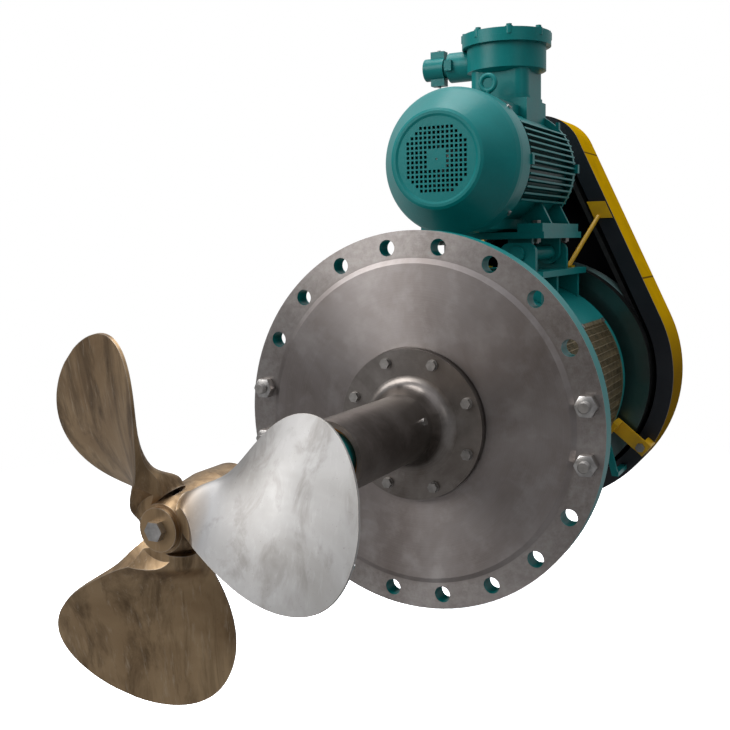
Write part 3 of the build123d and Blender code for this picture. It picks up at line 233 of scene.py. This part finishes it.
def lathe_steel(name, base, dark, light, roughness):
    """Bare turned steel with faint concentric tool marks, brownish stains and scratches."""
    s = Shader(name, base, roughness, 1.0)
    r = s.radius()
    rings = s.node("ShaderNodeTexNoise", noise_dimensions="1D")
    s.put(rings.inputs["W"], r)
    rings.inputs["Scale"].default_value = 900.0
    rings.inputs["Detail"].default_value = 2
    stain = s.noise(3.2, 5, 0.62, distort=0.8)
    cloud = s.noise(14.0, 5, 0.65)
    speck = s.noise(210.0, 3, 0.7)
    tone = s.mix(s.ramp(stain, 0.36, 0.70), base, dark)
    tone = s.mix(s.maths("MULTIPLY", s.ramp(cloud, 0.5, 0.75), 0.35), tone, light)
    tone = s.mix(s.maths("MULTIPLY", s.ramp(rings.outputs["Fac"], 0.5, 0.8), 0.16), tone, light)
    tone = s.mix(s.maths("MULTIPLY", s.ramp(speck, 0.66, 0.82), 0.5), tone, dark)
    s.colour(tone)
    s.rough(s.span(cloud, roughness - 0.06, roughness + 0.12))
    s.bump(rings.outputs["Fac"], 0.00012, 0.3)
    s.bump(speck, 0.00012, 0.25)
    return s


def flange_steel():
    """Turned bare front with a rim rubbed lighter in patches, and green paint on the edge and the back."""
    s = lathe_steel("flange_steel", STEEL, STEEL_DARK, STEEL_LIGHT, 0.40)
    outer = s.ramp(s.radius(), RAISED_RADIUS, RAISED_RADIUS + 0.006)
    # wear: the outer rim turns lighter in patches
    wear_and_highlight = s.maths("MULTIPLY", s.ramp(s.noise(60.0, 5, 0.75), 0.40, 0.66), 0.30)
    tone = s.bsdf.inputs["Base Color"].links[0].from_socket
    s.colour(s.mix(s.maths("MULTIPLY", outer, wear_and_highlight), tone, (0.56, 0.54, 0.5)))
    s.bsdf.inputs["Anisotropic"].default_value = 0.65
    s.bsdf.inputs["Anisotropic Rotation"].default_value = 0.25
    tangent = s.node("ShaderNodeTangent", direction_type="RADIAL", axis="Y")
    s.put(s.bsdf.inputs["Tangent"], tangent.outputs["Tangent"])
    edge = s.maths("ADD", s.axes()[1], s.maths("MULTIPLY", s.noise(60, 3), 0.003))
    front = s.ramp(edge, 0.004, 0.002)
    paint = s.node("ShaderNodeBsdfPrincipled")
    colour, rough = green_layer(s)
    s.put(paint.inputs["Base Color"], colour)
    s.put(paint.inputs["Roughness"], rough)
    paint.inputs["Specular IOR Level"].default_value = 0.15
    both = s.node("ShaderNodeMixShader")
    s.put(both.inputs[0], front)
    s.put(both.inputs[1], paint.outputs[0])
    s.put(both.inputs[2], s.bsdf.outputs[0])
    s.put(s.tree.nodes["Material Output"].inputs["Surface"], both.outputs[0])
    return s.material


def tube_steel():
    tones = (0.26, 0.235, 0.215), (0.10, 0.082, 0.07), (0.42, 0.39, 0.37)
    return lathe_steel("tube_steel", *tones, 0.30).material


def bare_steel(name, base, roughness, scale=60.0):
    """Plain bright steel for fasteners and shafts, with fine scratches."""
    s = Shader(name, base, roughness, 1.0)
    cloud = s.noise(scale, 4, 0.6)
    s.colour(s.mix(s.ramp(cloud, 0.35, 0.75), base, tuple(0.5 * c for c in base)))
    s.rough(s.span(cloud, roughness - 0.08, roughness + 0.14))
    s.bump(s.noise(1200, 2), 0.0001, 0.4)
    return s.material


def propeller_metal():
    """Cast bronze-brown metal with grinding streaks; one blade is painted light grey as a reflection of the
    bright sky, and the edges carry a painted highlight.
    """
    s = Shader("propeller_metal", (0.30, 0.22, 0.14), 0.36, 1.0)
    x, _, z = s.axes()
    # painted reflection: one blade, away from the hub, is painted light grey as if it mirrored the bright
    # sky, and is made a little rougher
    angle = s.maths("ARCTAN2", z, x)
    turn = s.maths("ABSOLUTE", s.maths("SUBTRACT", angle, radians(SKY_LIT_BLADE)))
    away = s.ramp(s.radius(), HUB_RADIUS, 1.7 * HUB_RADIUS)
    wander = s.maths("MULTIPLY", s.maths("SUBTRACT", s.noise(9.0, 4, 0.7), 0.5), 0.9)
    bright = s.maths("MULTIPLY", s.ramp(s.maths("ADD", turn, wander), 1.05, 0.75), away)
    streak = s.noise(24.0, 5, 0.65, s.stretched((1.0, 1.0, 0.22)), 0.6)
    fine = s.noise(150.0, 4, 0.7, s.stretched((1.0, 0.7, 0.12)))
    stain = s.noise(5.5, 4, 0.6, distort=0.8)
    pit = s.noise(320.0, 2, 0.7)
    dull = s.mix(s.ramp(stain, 0.35, 0.7), (0.46, 0.325, 0.19), (0.25, 0.16, 0.085))
    dull = s.mix(s.maths("MULTIPLY", s.ramp(streak, 0.46, 0.68), 0.8), dull, (0.095, 0.06, 0.033))
    dull = s.mix(s.maths("MULTIPLY", s.ramp(fine, 0.56, 0.76), 0.5), dull, (0.58, 0.48, 0.36))
    # light grey tones of the painted sky reflection, with streaks and fine marks
    sky_lit_tone = s.mix(s.ramp(stain, 0.38, 0.70), (0.46, 0.45, 0.44), (0.36, 0.345, 0.325))
    sky_lit_tone = s.mix(s.maths("MULTIPLY", s.ramp(streak, 0.5, 0.72), 0.6), sky_lit_tone, (0.20, 0.18, 0.16))
    sky_lit_tone = s.mix(s.maths("MULTIPLY", s.ramp(fine, 0.55, 0.75), 0.35), sky_lit_tone, (0.55, 0.54, 0.53))
    tone = s.mix(bright, dull, sky_lit_tone)
    # painted highlight: all sharp edges are painted lighter
    tone = s.mix(s.maths("MULTIPLY", s.edges(0.003), 0.45), tone, (0.60, 0.55, 0.48))
    tone = s.mix(s.maths("MULTIPLY", s.ramp(pit, 0.68, 0.8), 0.5), tone, (0.1, 0.08, 0.06))
    s.colour(tone)
    s.rough(s.maths("ADD", s.span(s.noise(14, 4), 0.36, 0.58), s.maths("MULTIPLY", bright, 0.12)))
    s.bump(streak, 0.0010, 0.3)
    s.bump(fine, 0.0003, 0.35)
    return s.material


def paint(name, base, dark, roughness, dirt=0.5):
    """Sheet metal paint with dirt in patches and specks."""
    s = Shader(name, base, roughness)
    patch = s.noise(9.0, 5, 0.65, distort=0.5)
    speck = s.noise(180.0, 3, 0.7)
    tone = s.mix(s.maths("MULTIPLY", s.ramp(patch, 0.45, 0.75), dirt), base, dark)
    tone = s.mix(s.maths("MULTIPLY", s.ramp(speck, 0.62, 0.8), dirt), tone, dark)
    s.colour(tone)
    s.rough(s.span(patch, roughness - 0.08, roughness + 0.15))
    s.bump(s.noise(70, 3), 0.0003, 0.4)
    return s.material


def cast_iron(name, base):
    s = Shader(name, base, 0.5, 0.8)
    cloud = s.noise(30, 5, 0.65)
    s.colour(s.mix(s.ramp(cloud, 0.35, 0.7), base, tuple(0.55 * c for c in base)))
    s.rough(s.span(cloud, 0.4, 0.65))
    s.bump(s.noise(400, 3), 0.0003, 0.5)
    return s.material


def pulley_steel():
    """Turned wheel: satin dark face with a painted reflection of the green paint around it, green and grey
    in patches, bare bright rim.
    """
    s = lathe_steel("pulley_steel", (0.23, 0.235, 0.235), (0.12, 0.12, 0.12), (0.34, 0.34, 0.34), 0.30)
    tone = s.bsdf.inputs["Base Color"].links[0].from_socket
    facing = s.normal_axes()[1]
    face = s.ramp(facing, -0.5, -0.9)
    # painted reflection: faces looking along -Y are tinted green and grey in patches as if they mirrored
    # the green paint around them
    reflected_tint = s.mix(s.ramp(s.noise(3.0, 3, 0.5), 0.40, 0.62), (0.05, 0.16, 0.145), (0.17, 0.15, 0.15))
    s.colour(s.mix(s.maths("MULTIPLY", face, 0.75), tone, reflected_tint))
    return s.material


def guard_paint():
    """Yellow outside, darker towards the bottom and at the joints of the sheet, with painted shade: faces
    of the interior are painted near-black.
    """
    s = Shader("guard_yellow", YELLOW, 0.36)
    x, y, z = s.axes()
    patch = s.noise(7.0, 5, 0.65, distort=0.5)
    speck = s.noise(150.0, 3, 0.7)
    low = s.ramp(s.maths("ADD", z, s.maths("MULTIPLY", s.maths("SUBTRACT", patch, 0.5), 0.12)), 0.20, 0.0)
    tone = s.mix(s.maths("MULTIPLY", s.ramp(patch, 0.45, 0.75), 0.4), YELLOW, YELLOW_DIRTY)
    tone = s.mix(s.maths("MULTIPLY", low, 0.75), tone, (0.16, 0.085, 0.012))
    tone = s.mix(s.maths("MULTIPLY", s.ramp(speck, 0.64, 0.8), 0.6), tone, (0.11, 0.06, 0.01))
    for height in GUARD_SEAMS:
        seam = s.ramp(s.maths("ABSOLUTE", s.maths("SUBTRACT", z, height)), 0.003, 0.0015)
        tone = s.mix(s.maths("MULTIPLY", seam, 0.8), tone, (0.05, 0.03, 0.01))
    # painted shade: faces that turn into the guard, and faces looking along -Y, are painted near-black
    # where the interior lies in shade
    nx, ny, nz = s.normal_axes()
    middle = s.maths("MINIMUM", s.maths("MAXIMUM", z, 0.0), guard_top_z)
    above = s.maths("SUBTRACT", z, middle)
    outward = s.maths("ADD", s.maths("MULTIPLY", nx, x), s.maths("MULTIPLY", nz, above))
    inside_shade = s.maths("MAXIMUM", s.ramp(outward, 0.0, -0.02), s.ramp(ny, -0.5, -0.8))
    s.colour(s.mix(inside_shade, tone, (0.006, 0.006, 0.007)))
    s.rough(s.span(patch, 0.45, 0.65))
    s.bsdf.inputs["Specular IOR Level"].default_value = 0.0
    s.bump(s.noise(70, 3), 0.0003, 0.4)
    return s.material


def rubber(name, base):
    s = Shader(name, base, 0.75)
    s.colour(s.mix(s.ramp(s.noise(50, 3), 0.4, 0.7), base, tuple(2.2 * c for c in base)))
    s.bump(s.noise(500, 2), 0.0002, 0.5)
    return s.material


def plastic(name, base):
    s = Shader(name, base, 0.45)
    s.colour(s.mix(s.ramp(s.noise(30, 3), 0.4, 0.7), base, tuple(0.7 * c for c in base)))
    s.rough(s.span(s.noise(80, 2), 0.4, 0.55))
    s.bump(s.noise(700, 2), 0.0001, 0.5)
    return s.material


def bronze(name, base):
    s = Shader(name, base, 0.4, 1.0)
    s.colour(s.mix(s.ramp(s.noise(45, 4), 0.35, 0.7), base, tuple(0.55 * c for c in base)))
    s.rough(s.span(s.noise(90, 3), 0.32, 0.55))
    s.bump(s.noise(600, 2), 0.0001, 0.4)
    return s.material


def make_materials():
    green = green_paint()
    bright = bare_steel("bright_steel", (0.48, 0.46, 0.44), 0.30)
    dull = bare_steel("dull_steel", (0.36, 0.34, 0.32), 0.42, 40.0)
    yellow = paint("yellow_paint", YELLOW, YELLOW_DIRTY, 0.34, dirt=0.45)
    black = paint("black_paint", (0.007, 0.008, 0.012), (0.016, 0.017, 0.02), 0.36)
    mesh = bronze("guard_mesh", (0.30, 0.235, 0.13))
    core = cast_iron("core_iron", (0.1, 0.1, 0.105))
    seal = plastic("seal_carbon", (0.03, 0.03, 0.03))
    table = {
        flange_steel(): ("mounting_flange",),
        tube_steel(): ("stuffing_tube",),
        dull: ("tube_flange_bolts", "transport_studs", "transport_nuts", "gland_bolts", "bearing_locknut",
               "foot_bolts", "jack_screws", "strap_bolts"),
        bright: ("tube_screw", "hub_bolt", "mesh_screws", "fan_cover_screws", "gland_clamp_screws",
                 "impeller_shaft", "motor_shaft", "propeller_key", "driven_key", "drive_key", "seal_sleeve",
                 "front_bearing_outer", "front_bearing_inner", "rear_bearing_outer", "rear_bearing_inner",
                 "motor_bearings"),
        propeller_metal(): ("propeller", "hub_cap"),
        green: ("shutoff_collar", "seal_gland", "housing_drum", "bearing_cartridge", "rear_bearing_cover",
                "saddle", "motor_frame", "drive_end_shield", "fan_end_shield", "fan_cover", "terminal_box",
                "terminal_lid", "lid_bolts", "cable_gland", "eyebolt", "motor_base_plate", "hinge_rod"),
        bronze("bush_bronze", (0.45, 0.2, 0.06)): ("tube_bush",),
        seal: ("seal_seat", "seal_ring"),
        mesh: ("mesh_guards",),
        pulley_steel(): ("driven_pulley",),
        cast_iron("pulley_iron", (0.2, 0.2, 0.2)): ("drive_pulley",),
        rubber("belt_rubber", (0.012, 0.012, 0.012)): ("belts",),
        core: ("stator_core", "rotor_core"),
        plastic("fan_plastic", (0.02, 0.022, 0.022)): ("cooling_fan",),
        plastic("terminal_plastic", (0.25, 0.06, 0.02)): ("terminal_block",),
        yellow: ("guard_brackets",),
        guard_paint(): ("belt_guard_cover",),
        black: ("belt_guard_frame",),
    }
    for material, names in table.items():
        for name in names:
            slots = nodes[name].data.materials
            slots.clear()
            slots.append(material)
    return dict(bright=bright, dull=dull, mesh=mesh)


materials = make_materials()


# ---------- fine pieces ----------
def new_piece(name, vertices, faces, material, node, smooth=True):
    """Mesh object that rides on the housing and stands for a node of the frame."""
    mesh = bpy.data.meshes.new(name)
    mesh.from_pydata(vertices, [], faces)
    mesh.validate()
    tidy = bmesh.new()
    tidy.from_mesh(mesh)
    bmesh.ops.recalc_face_normals(tidy, faces=tidy.faces)
    tidy.to_mesh(mesh)
    tidy.free()
    for face in mesh.polygons:
        face.use_smooth = smooth
    mesh.set_sharp_from_angle(angle=radians(32))
    mesh.materials.append(material)
    piece = bpy.data.objects.new(name, mesh)
    bpy.context.scene.collection.objects.link(piece)
    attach(piece, "housing")
    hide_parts(node)


def islands(name):
    """Lowest and highest corner of each separate solid in a node."""
    mesh = nodes[name].data
    at = [tuple(round(c, 5) for c in v.co) for v in mesh.vertices]
    parent = {}

    def find(p):
        while parent.setdefault(p, p) != p:
            parent[p] = parent[parent[p]]
            p = parent[p]
        return p

    for face in mesh.polygons:
        first, *rest = (at[i] for i in face.vertices)
        for other in rest:
            parent[find(other)] = find(first)
    groups = {}
    for p in set(at):
        groups.setdefault(find(p), []).append(p)
    return [(Vector(map(min, zip(*g))), Vector(map(max, zip(*g)))) for g in groups.values()]


class Stack:
    """Vertices and faces of closed bodies made of rings along an axis."""

    def __init__(self):
        self.vertices, self.faces = [], []

    def add(self, rings, place):
        """rings: lists of (a, b, h) points; place turns (a, b, h) into a point of the frame."""
        start, count = len(self.vertices), len(rings[0])
        for ring in rings:
            self.vertices += [tuple(place(*p)) for p in ring]
        for i in range(len(rings) - 1):
            for j in range(count):
                k = (j + 1) % count
                low, high = start + i * count, start + (i + 1) * count
                self.faces.append((low + j, low + k, high + k, high + j))
        self.faces.append(tuple(range(start, start + count)))
        last = start + (len(rings) - 1) * count
        self.faces.append(tuple(range(last + count - 1, last - 1, -1)))


ROUND = 72
STUD_PITCH = 0.003


def circle(radius, height):
    turns = [2 * pi * j / ROUND for j in range(ROUND)]
    return [(radius * cos(turn), radius * sin(turn), height) for turn in turns]


def hexagon_rings(flats, low, high, tip_first):
    """Hexagon whose corners are turned down by a 30 degree cone at both ends."""
    inner = 0.475 * flats
    step = pi / 3

    def edge(height, way):
        ring = []
        for j in range(ROUND):
            angle = 2 * pi * j / ROUND
            off = (angle + (0 if tip_first else step / 2)) % step - step / 2
            reach = flats / 2 / cos(off)
            drop = max(reach - inner, 0) * 0.577
            ring.append((reach * cos(angle), reach * sin(angle), height + way * drop))
        return ring

    return [circle(inner, low), edge(low, 1), edge(high, -1), circle(inner, high)]


def along_y(x, z):
    """Place on a line along Y for a point of a Stack."""
    return lambda a, b, h: (x + a, h, z + b)


def thread_rings(radius, low, high, pitch):
    """Rod with sharp thread crests and a chamfer at both ends."""
    rings = [circle(radius - 0.7 * pitch, low), circle(radius, low + 0.7 * pitch)]
    turns = int((high - low - 2 * pitch) / pitch)
    for i in range(turns):
        at = low + pitch * (i + 1)
        rings += [circle(radius, at), circle(radius - 0.6 * pitch, at + pitch / 2)]
    return rings + [circle(radius, high - 0.7 * pitch), circle(radius - 0.7 * pitch, high)]


def make_transport_bolts():
    """Chamfered nuts and threaded studs in the tank flange."""
    stack = Stack()
    for low, high in islands("transport_nuts"):
        size = high - low
        flats = min(size.x, size.z)
        x, z = (low.x + high.x) / 2, (low.z + high.z) / 2
        stack.add(hexagon_rings(flats, low.y, high.y, size.x > size.z), along_y(x, z))
    new_piece("chamfered_nuts", stack.vertices, stack.faces, materials["bright"],
              "transport_nuts")
    stack = Stack()
    for low, high in islands("transport_studs"):
        x, z = (low.x + high.x) / 2, (low.z + high.z) / 2
        stack.add(thread_rings((high.x - low.x) / 2, low.y, high.y, STUD_PITCH), along_y(x, z))
    new_piece("threaded_studs", stack.vertices, stack.faces, materials["dull"],
              "transport_studs")


RIB_PITCH = 0.017        # between the axial ribs of the guard mesh
RIB_WIDTH = 0.0022
MESH_T = 0.002
STRAND_PITCH = 0.0085
STRAND_WIDTH = 0.0026
STRAND_SUNK = 0.0006     # of the strands below the ribs
BORDER = 0.010           # plain edge of a mesh guard
BORDER_PARTS = 24        # straight parts of a border that follows the drum


BAR_FACES = ((0, 1, 3, 2), (4, 6, 7, 5), (0, 4, 5, 1), (2, 3, 7, 6), (1, 5, 7, 3), (0, 2, 6, 4))


def make_mesh_guards():
    """Ribbed expanded metal: axial ribs with slanting strands between them, and a plain border."""
    for n, (low, high) in enumerate(islands("mesh_guards")):
        side = 1 if low.x > 0 else -1
        r = max(abs(low.x), abs(high.x))
        half = asin(high.z / r)
        vertices, faces = [], []

        def bar(p, q, width, inner, outer):
            """Straight bar from (angle, y) p to q, between two radii."""
            (a0, y0), (a1, y1) = p, q
            da, dy = (a1 - a0) * r, y1 - y0
            length = sqrt(da * da + dy * dy)
            sa, sy = -dy / length * width / 2 / r, da / length * width / 2
            start = len(vertices)
            for a, y in ((a0, y0), (a1, y1)):
                for way in (-1, 1):
                    for rr in (inner, outer):
                        angle, at = a + way * sa, y + way * sy
                        vertices.append((side * rr * cos(angle), at, rr * sin(angle)))
            faces.extend(tuple(start + corner for corner in face) for face in BAR_FACES)

        inner = r - MESH_T
        bays = round(2 * half * r / RIB_PITCH)
        step = 2 * half / bays
        y0, y1 = low.y, high.y
        for i in range(1, bays):
            a = -half + i * step
            bar((a, y0), (a, y1), RIB_WIDTH, inner, r)
        rows = round((y1 - y0) / STRAND_PITCH)
        pitch = (y1 - y0) / rows
        for i in range(bays):
            a0, a1 = -half + i * step, -half + (i + 1) * step
            lean = 0.6 * pitch * (1 if i % 2 else -1)
            for j in range(rows):
                y = y0 + (j + 0.5) * pitch
                bar((a0, y - lean), (a1, y + lean), STRAND_WIDTH, inner, r - STRAND_SUNK)
        edge = BORDER / r
        for a in (-half + edge / 2, half - edge / 2):
            bar((a, y0), (a, y1), BORDER, inner, r)
        turn = 2 * half / BORDER_PARTS
        for y in (y0 + BORDER / 2, y1 - BORDER / 2):
            for i in range(BORDER_PARTS):
                bar((-half + turn * i, y), (-half + turn * (i + 1), y), BORDER, inner, r)
        new_piece(f"mesh_lattice_{n}", vertices, faces, materials["mesh"], "mesh_guards",
                  smooth=False)


make_transport_bolts()
make_mesh_guards()


# ---------- camera, light and floor ----------
CAMERA_AT = (0.8471, -1.8568, 0.3803)
CAMERA_AZIMUTH = 27.42
CAMERA_ELEVATION = 7.1
CAMERA_ROLL = -1.25
CAMERA_LENS = 48.0


def make_camera():
    data = bpy.data.cameras.new("camera")
    data.sensor_width = 36.0
    data.lens = CAMERA_LENS
    data.clip_start = 0.01
    data.clip_end = 100.0
    camera = bpy.data.objects.new("camera", data)
    bpy.context.scene.collection.objects.link(camera)
    a, e, t = radians(CAMERA_AZIMUTH), radians(CAMERA_ELEVATION), radians(CAMERA_ROLL)
    back = Vector((sin(a) * cos(e), -cos(a) * cos(e), sin(e)))
    right = Vector((0, 0, 1)).cross(back).normalized()
    up = back.cross(right)
    right, up = right * cos(t) + up * sin(t), up * cos(t) - right * sin(t)
    turn = Matrix((right, up, back)).transposed().to_4x4()
    camera.matrix_world = Matrix.Translation(CAMERA_AT) @ turn
    bpy.context.scene.camera = camera


def area_light(name, at, target, size, watts):
    data = bpy.data.lights.new(name, "AREA")
    data.shape = "RECTANGLE"
    data.size, data.size_y = size
    data.energy = watts
    lamp = bpy.data.objects.new(name, data)
    bpy.context.scene.collection.objects.link(lamp)
    lamp.location = at
    lamp.rotation_mode = "QUATERNION"
    lamp.rotation_quaternion = (Vector(target) - Vector(at)).to_track_quat("-Z", "Y")


FLOOR_DROP = 0.25        # the held-up mixer hangs this far above the floor
FLOOR_SIZE = 60.0
FLOOR_NEAR, FLOOR_FAR = 1.0, 3.2     # the floor turns into plain white between these distances
FLOOR_GAIN = 2.9


def light_path(tree):
    """Shares of rays that show the white background: seen directly, or in metal that faces it."""
    rays = tree.nodes.new("ShaderNodeLightPath")

    def add(a, b):
        made = tree.nodes.new("ShaderNodeMath")
        made.operation = "ADD"
        made.use_clamp = True
        tree.links.new(a, made.inputs[0])
        tree.links.new(b, made.inputs[1])
        return made.outputs[0]

    dim = tree.nodes.new("ShaderNodeMath")
    dim.operation = "MULTIPLY"
    dim.inputs[1].default_value = BACKDROP_GLOSS
    tree.links.new(rays.outputs["Is Glossy Ray"], dim.inputs[0])
    shiny = add(dim.outputs[0], rays.outputs["Is Transmission Ray"])
    return rays.outputs["Is Camera Ray"], shiny, add


def product(tree, a, b):
    made = tree.nodes.new("ShaderNodeMath")
    made.operation = "MULTIPLY"
    tree.links.new(a, made.inputs[0])
    tree.links.new(b, made.inputs[1])
    return made.outputs[0]


def smooth_range(tree, value, low, high):
    made = tree.nodes.new("ShaderNodeMapRange")
    made.interpolation_type = "SMOOTHSTEP"
    tree.links.new(value, made.inputs["Value"])
    made.inputs["From Min"].default_value = low
    made.inputs["From Max"].default_value = high
    return made.outputs["Result"]


BACKDROP_GLOSS = 0.3     # how bright the white backdrop is in reflections
ROOM = ((0.0, (0.030, 0.027, 0.025)), (0.42, (0.05, 0.047, 0.045)), (0.52, (0.15, 0.15, 0.15)),
        (0.66, (0.34, 0.35, 0.37)), (1.0, (0.95, 0.98, 1.05)))


def make_world():
    """A white backdrop behind the mixer and a room that darkens from its ceiling to its floor."""
    world = bpy.data.worlds.new("world")
    world.use_nodes = True
    bpy.context.scene.world = world
    tree = world.node_tree
    background = tree.nodes["Background"]
    where = tree.nodes.new("ShaderNodeTexCoord")
    axes = tree.nodes.new("ShaderNodeSeparateXYZ")
    tree.links.new(where.outputs["Generated"], axes.inputs[0])
    ramp = tree.nodes.new("ShaderNodeValToRGB")
    stops = ramp.color_ramp.elements
    while len(stops) < len(ROOM):
        stops.new(0.5)
    for stop, (position, colour) in zip(stops, ROOM):
        stop.position = position
        stop.color = (*colour, 1)
    height = tree.nodes.new("ShaderNodeMapRange")
    height.inputs["From Min"].default_value = -1
    tree.links.new(axes.outputs["Z"], height.inputs["Value"])
    tree.links.new(height.outputs["Result"], ramp.inputs["Fac"])
    camera, shiny, add = light_path(tree)
    behind = smooth_range(tree, axes.outputs["Y"], 0.0, 0.5)
    white = add(camera, product(tree, shiny, behind))
    mix = tree.nodes.new("ShaderNodeMix")
    mix.data_type = "RGBA"
    tree.links.new(white, mix.inputs[0])
    tree.links.new(ramp.outputs["Color"], mix.inputs[6])
    mix.inputs[7].default_value = (1, 1, 1, 1)
    tree.links.new(mix.outputs[2], background.inputs["Color"])
    background.inputs["Strength"].default_value = 1.0


def make_floor():
    """Pale floor that keeps the mixer's shadow and turns into the white background further out."""
    low = cad_box[0][2] - FLOOR_DROP
    mesh = bpy.data.meshes.new("floor")
    h = FLOOR_SIZE / 2
    mesh.from_pydata([(-h, -h, low), (h, -h, low), (h, h, low), (-h, h, low)], [], [(0, 1, 2, 3)])
    floor = bpy.data.objects.new("floor", mesh)
    bpy.context.scene.collection.objects.link(floor)
    material = bpy.data.materials.new("floor_pale")
    material.use_nodes = True
    tree = material.node_tree
    tree.nodes.remove(tree.nodes["Principled BSDF"])
    output = tree.nodes["Material Output"]
    matt = tree.nodes.new("ShaderNodeBsdfDiffuse")
    matt.inputs["Color"].default_value = (0.30, 0.30, 0.30, 1)
    shown = tree.nodes.new("ShaderNodeBsdfDiffuse")
    shown.inputs["Color"].default_value = (FLOOR_GAIN, FLOOR_GAIN, FLOOR_GAIN, 1)
    plain = tree.nodes.new("ShaderNodeEmission")
    where = tree.nodes.new("ShaderNodeTexCoord")
    length = tree.nodes.new("ShaderNodeVectorMath")
    length.operation = "LENGTH"
    tree.links.new(where.outputs["Object"], length.inputs[0])
    axes = tree.nodes.new("ShaderNodeSeparateXYZ")
    tree.links.new(where.outputs["Object"], axes.inputs[0])
    camera, shiny, add = light_path(tree)
    far = smooth_range(tree, length.outputs["Value"], FLOOR_NEAR, FLOOR_FAR)
    white = add(camera, product(tree, shiny, smooth_range(tree, axes.outputs["Y"], 1.0, 3.0)))
    near = tree.nodes.new("ShaderNodeMixShader")
    tree.links.new(far, near.inputs[0])
    tree.links.new(shown.outputs[0], near.inputs[1])
    tree.links.new(plain.outputs[0], near.inputs[2])
    both = tree.nodes.new("ShaderNodeMixShader")
    tree.links.new(white, both.inputs[0])
    tree.links.new(matt.outputs[0], both.inputs[1])
    tree.links.new(near.outputs[0], both.inputs[2])
    tree.links.new(both.outputs[0], output.inputs["Surface"])
    mesh.materials.append(material)


make_camera()
make_world()
make_floor()
area_light("key", (-3.0, -3.6, 2.6), (0, -0.3, 0.0), (3.0, 3.0), 150)
area_light("fill", (3.6, -2.4, 1.6), (0, 0, 0.1), (1.6, 1.6), 5)
area_light("top", (-0.4, 0.4, 3.6), (0, 0.3, 0.4), (2.0, 2.0), 60)
bpy.context.scene.view_settings.view_transform = "Standard"
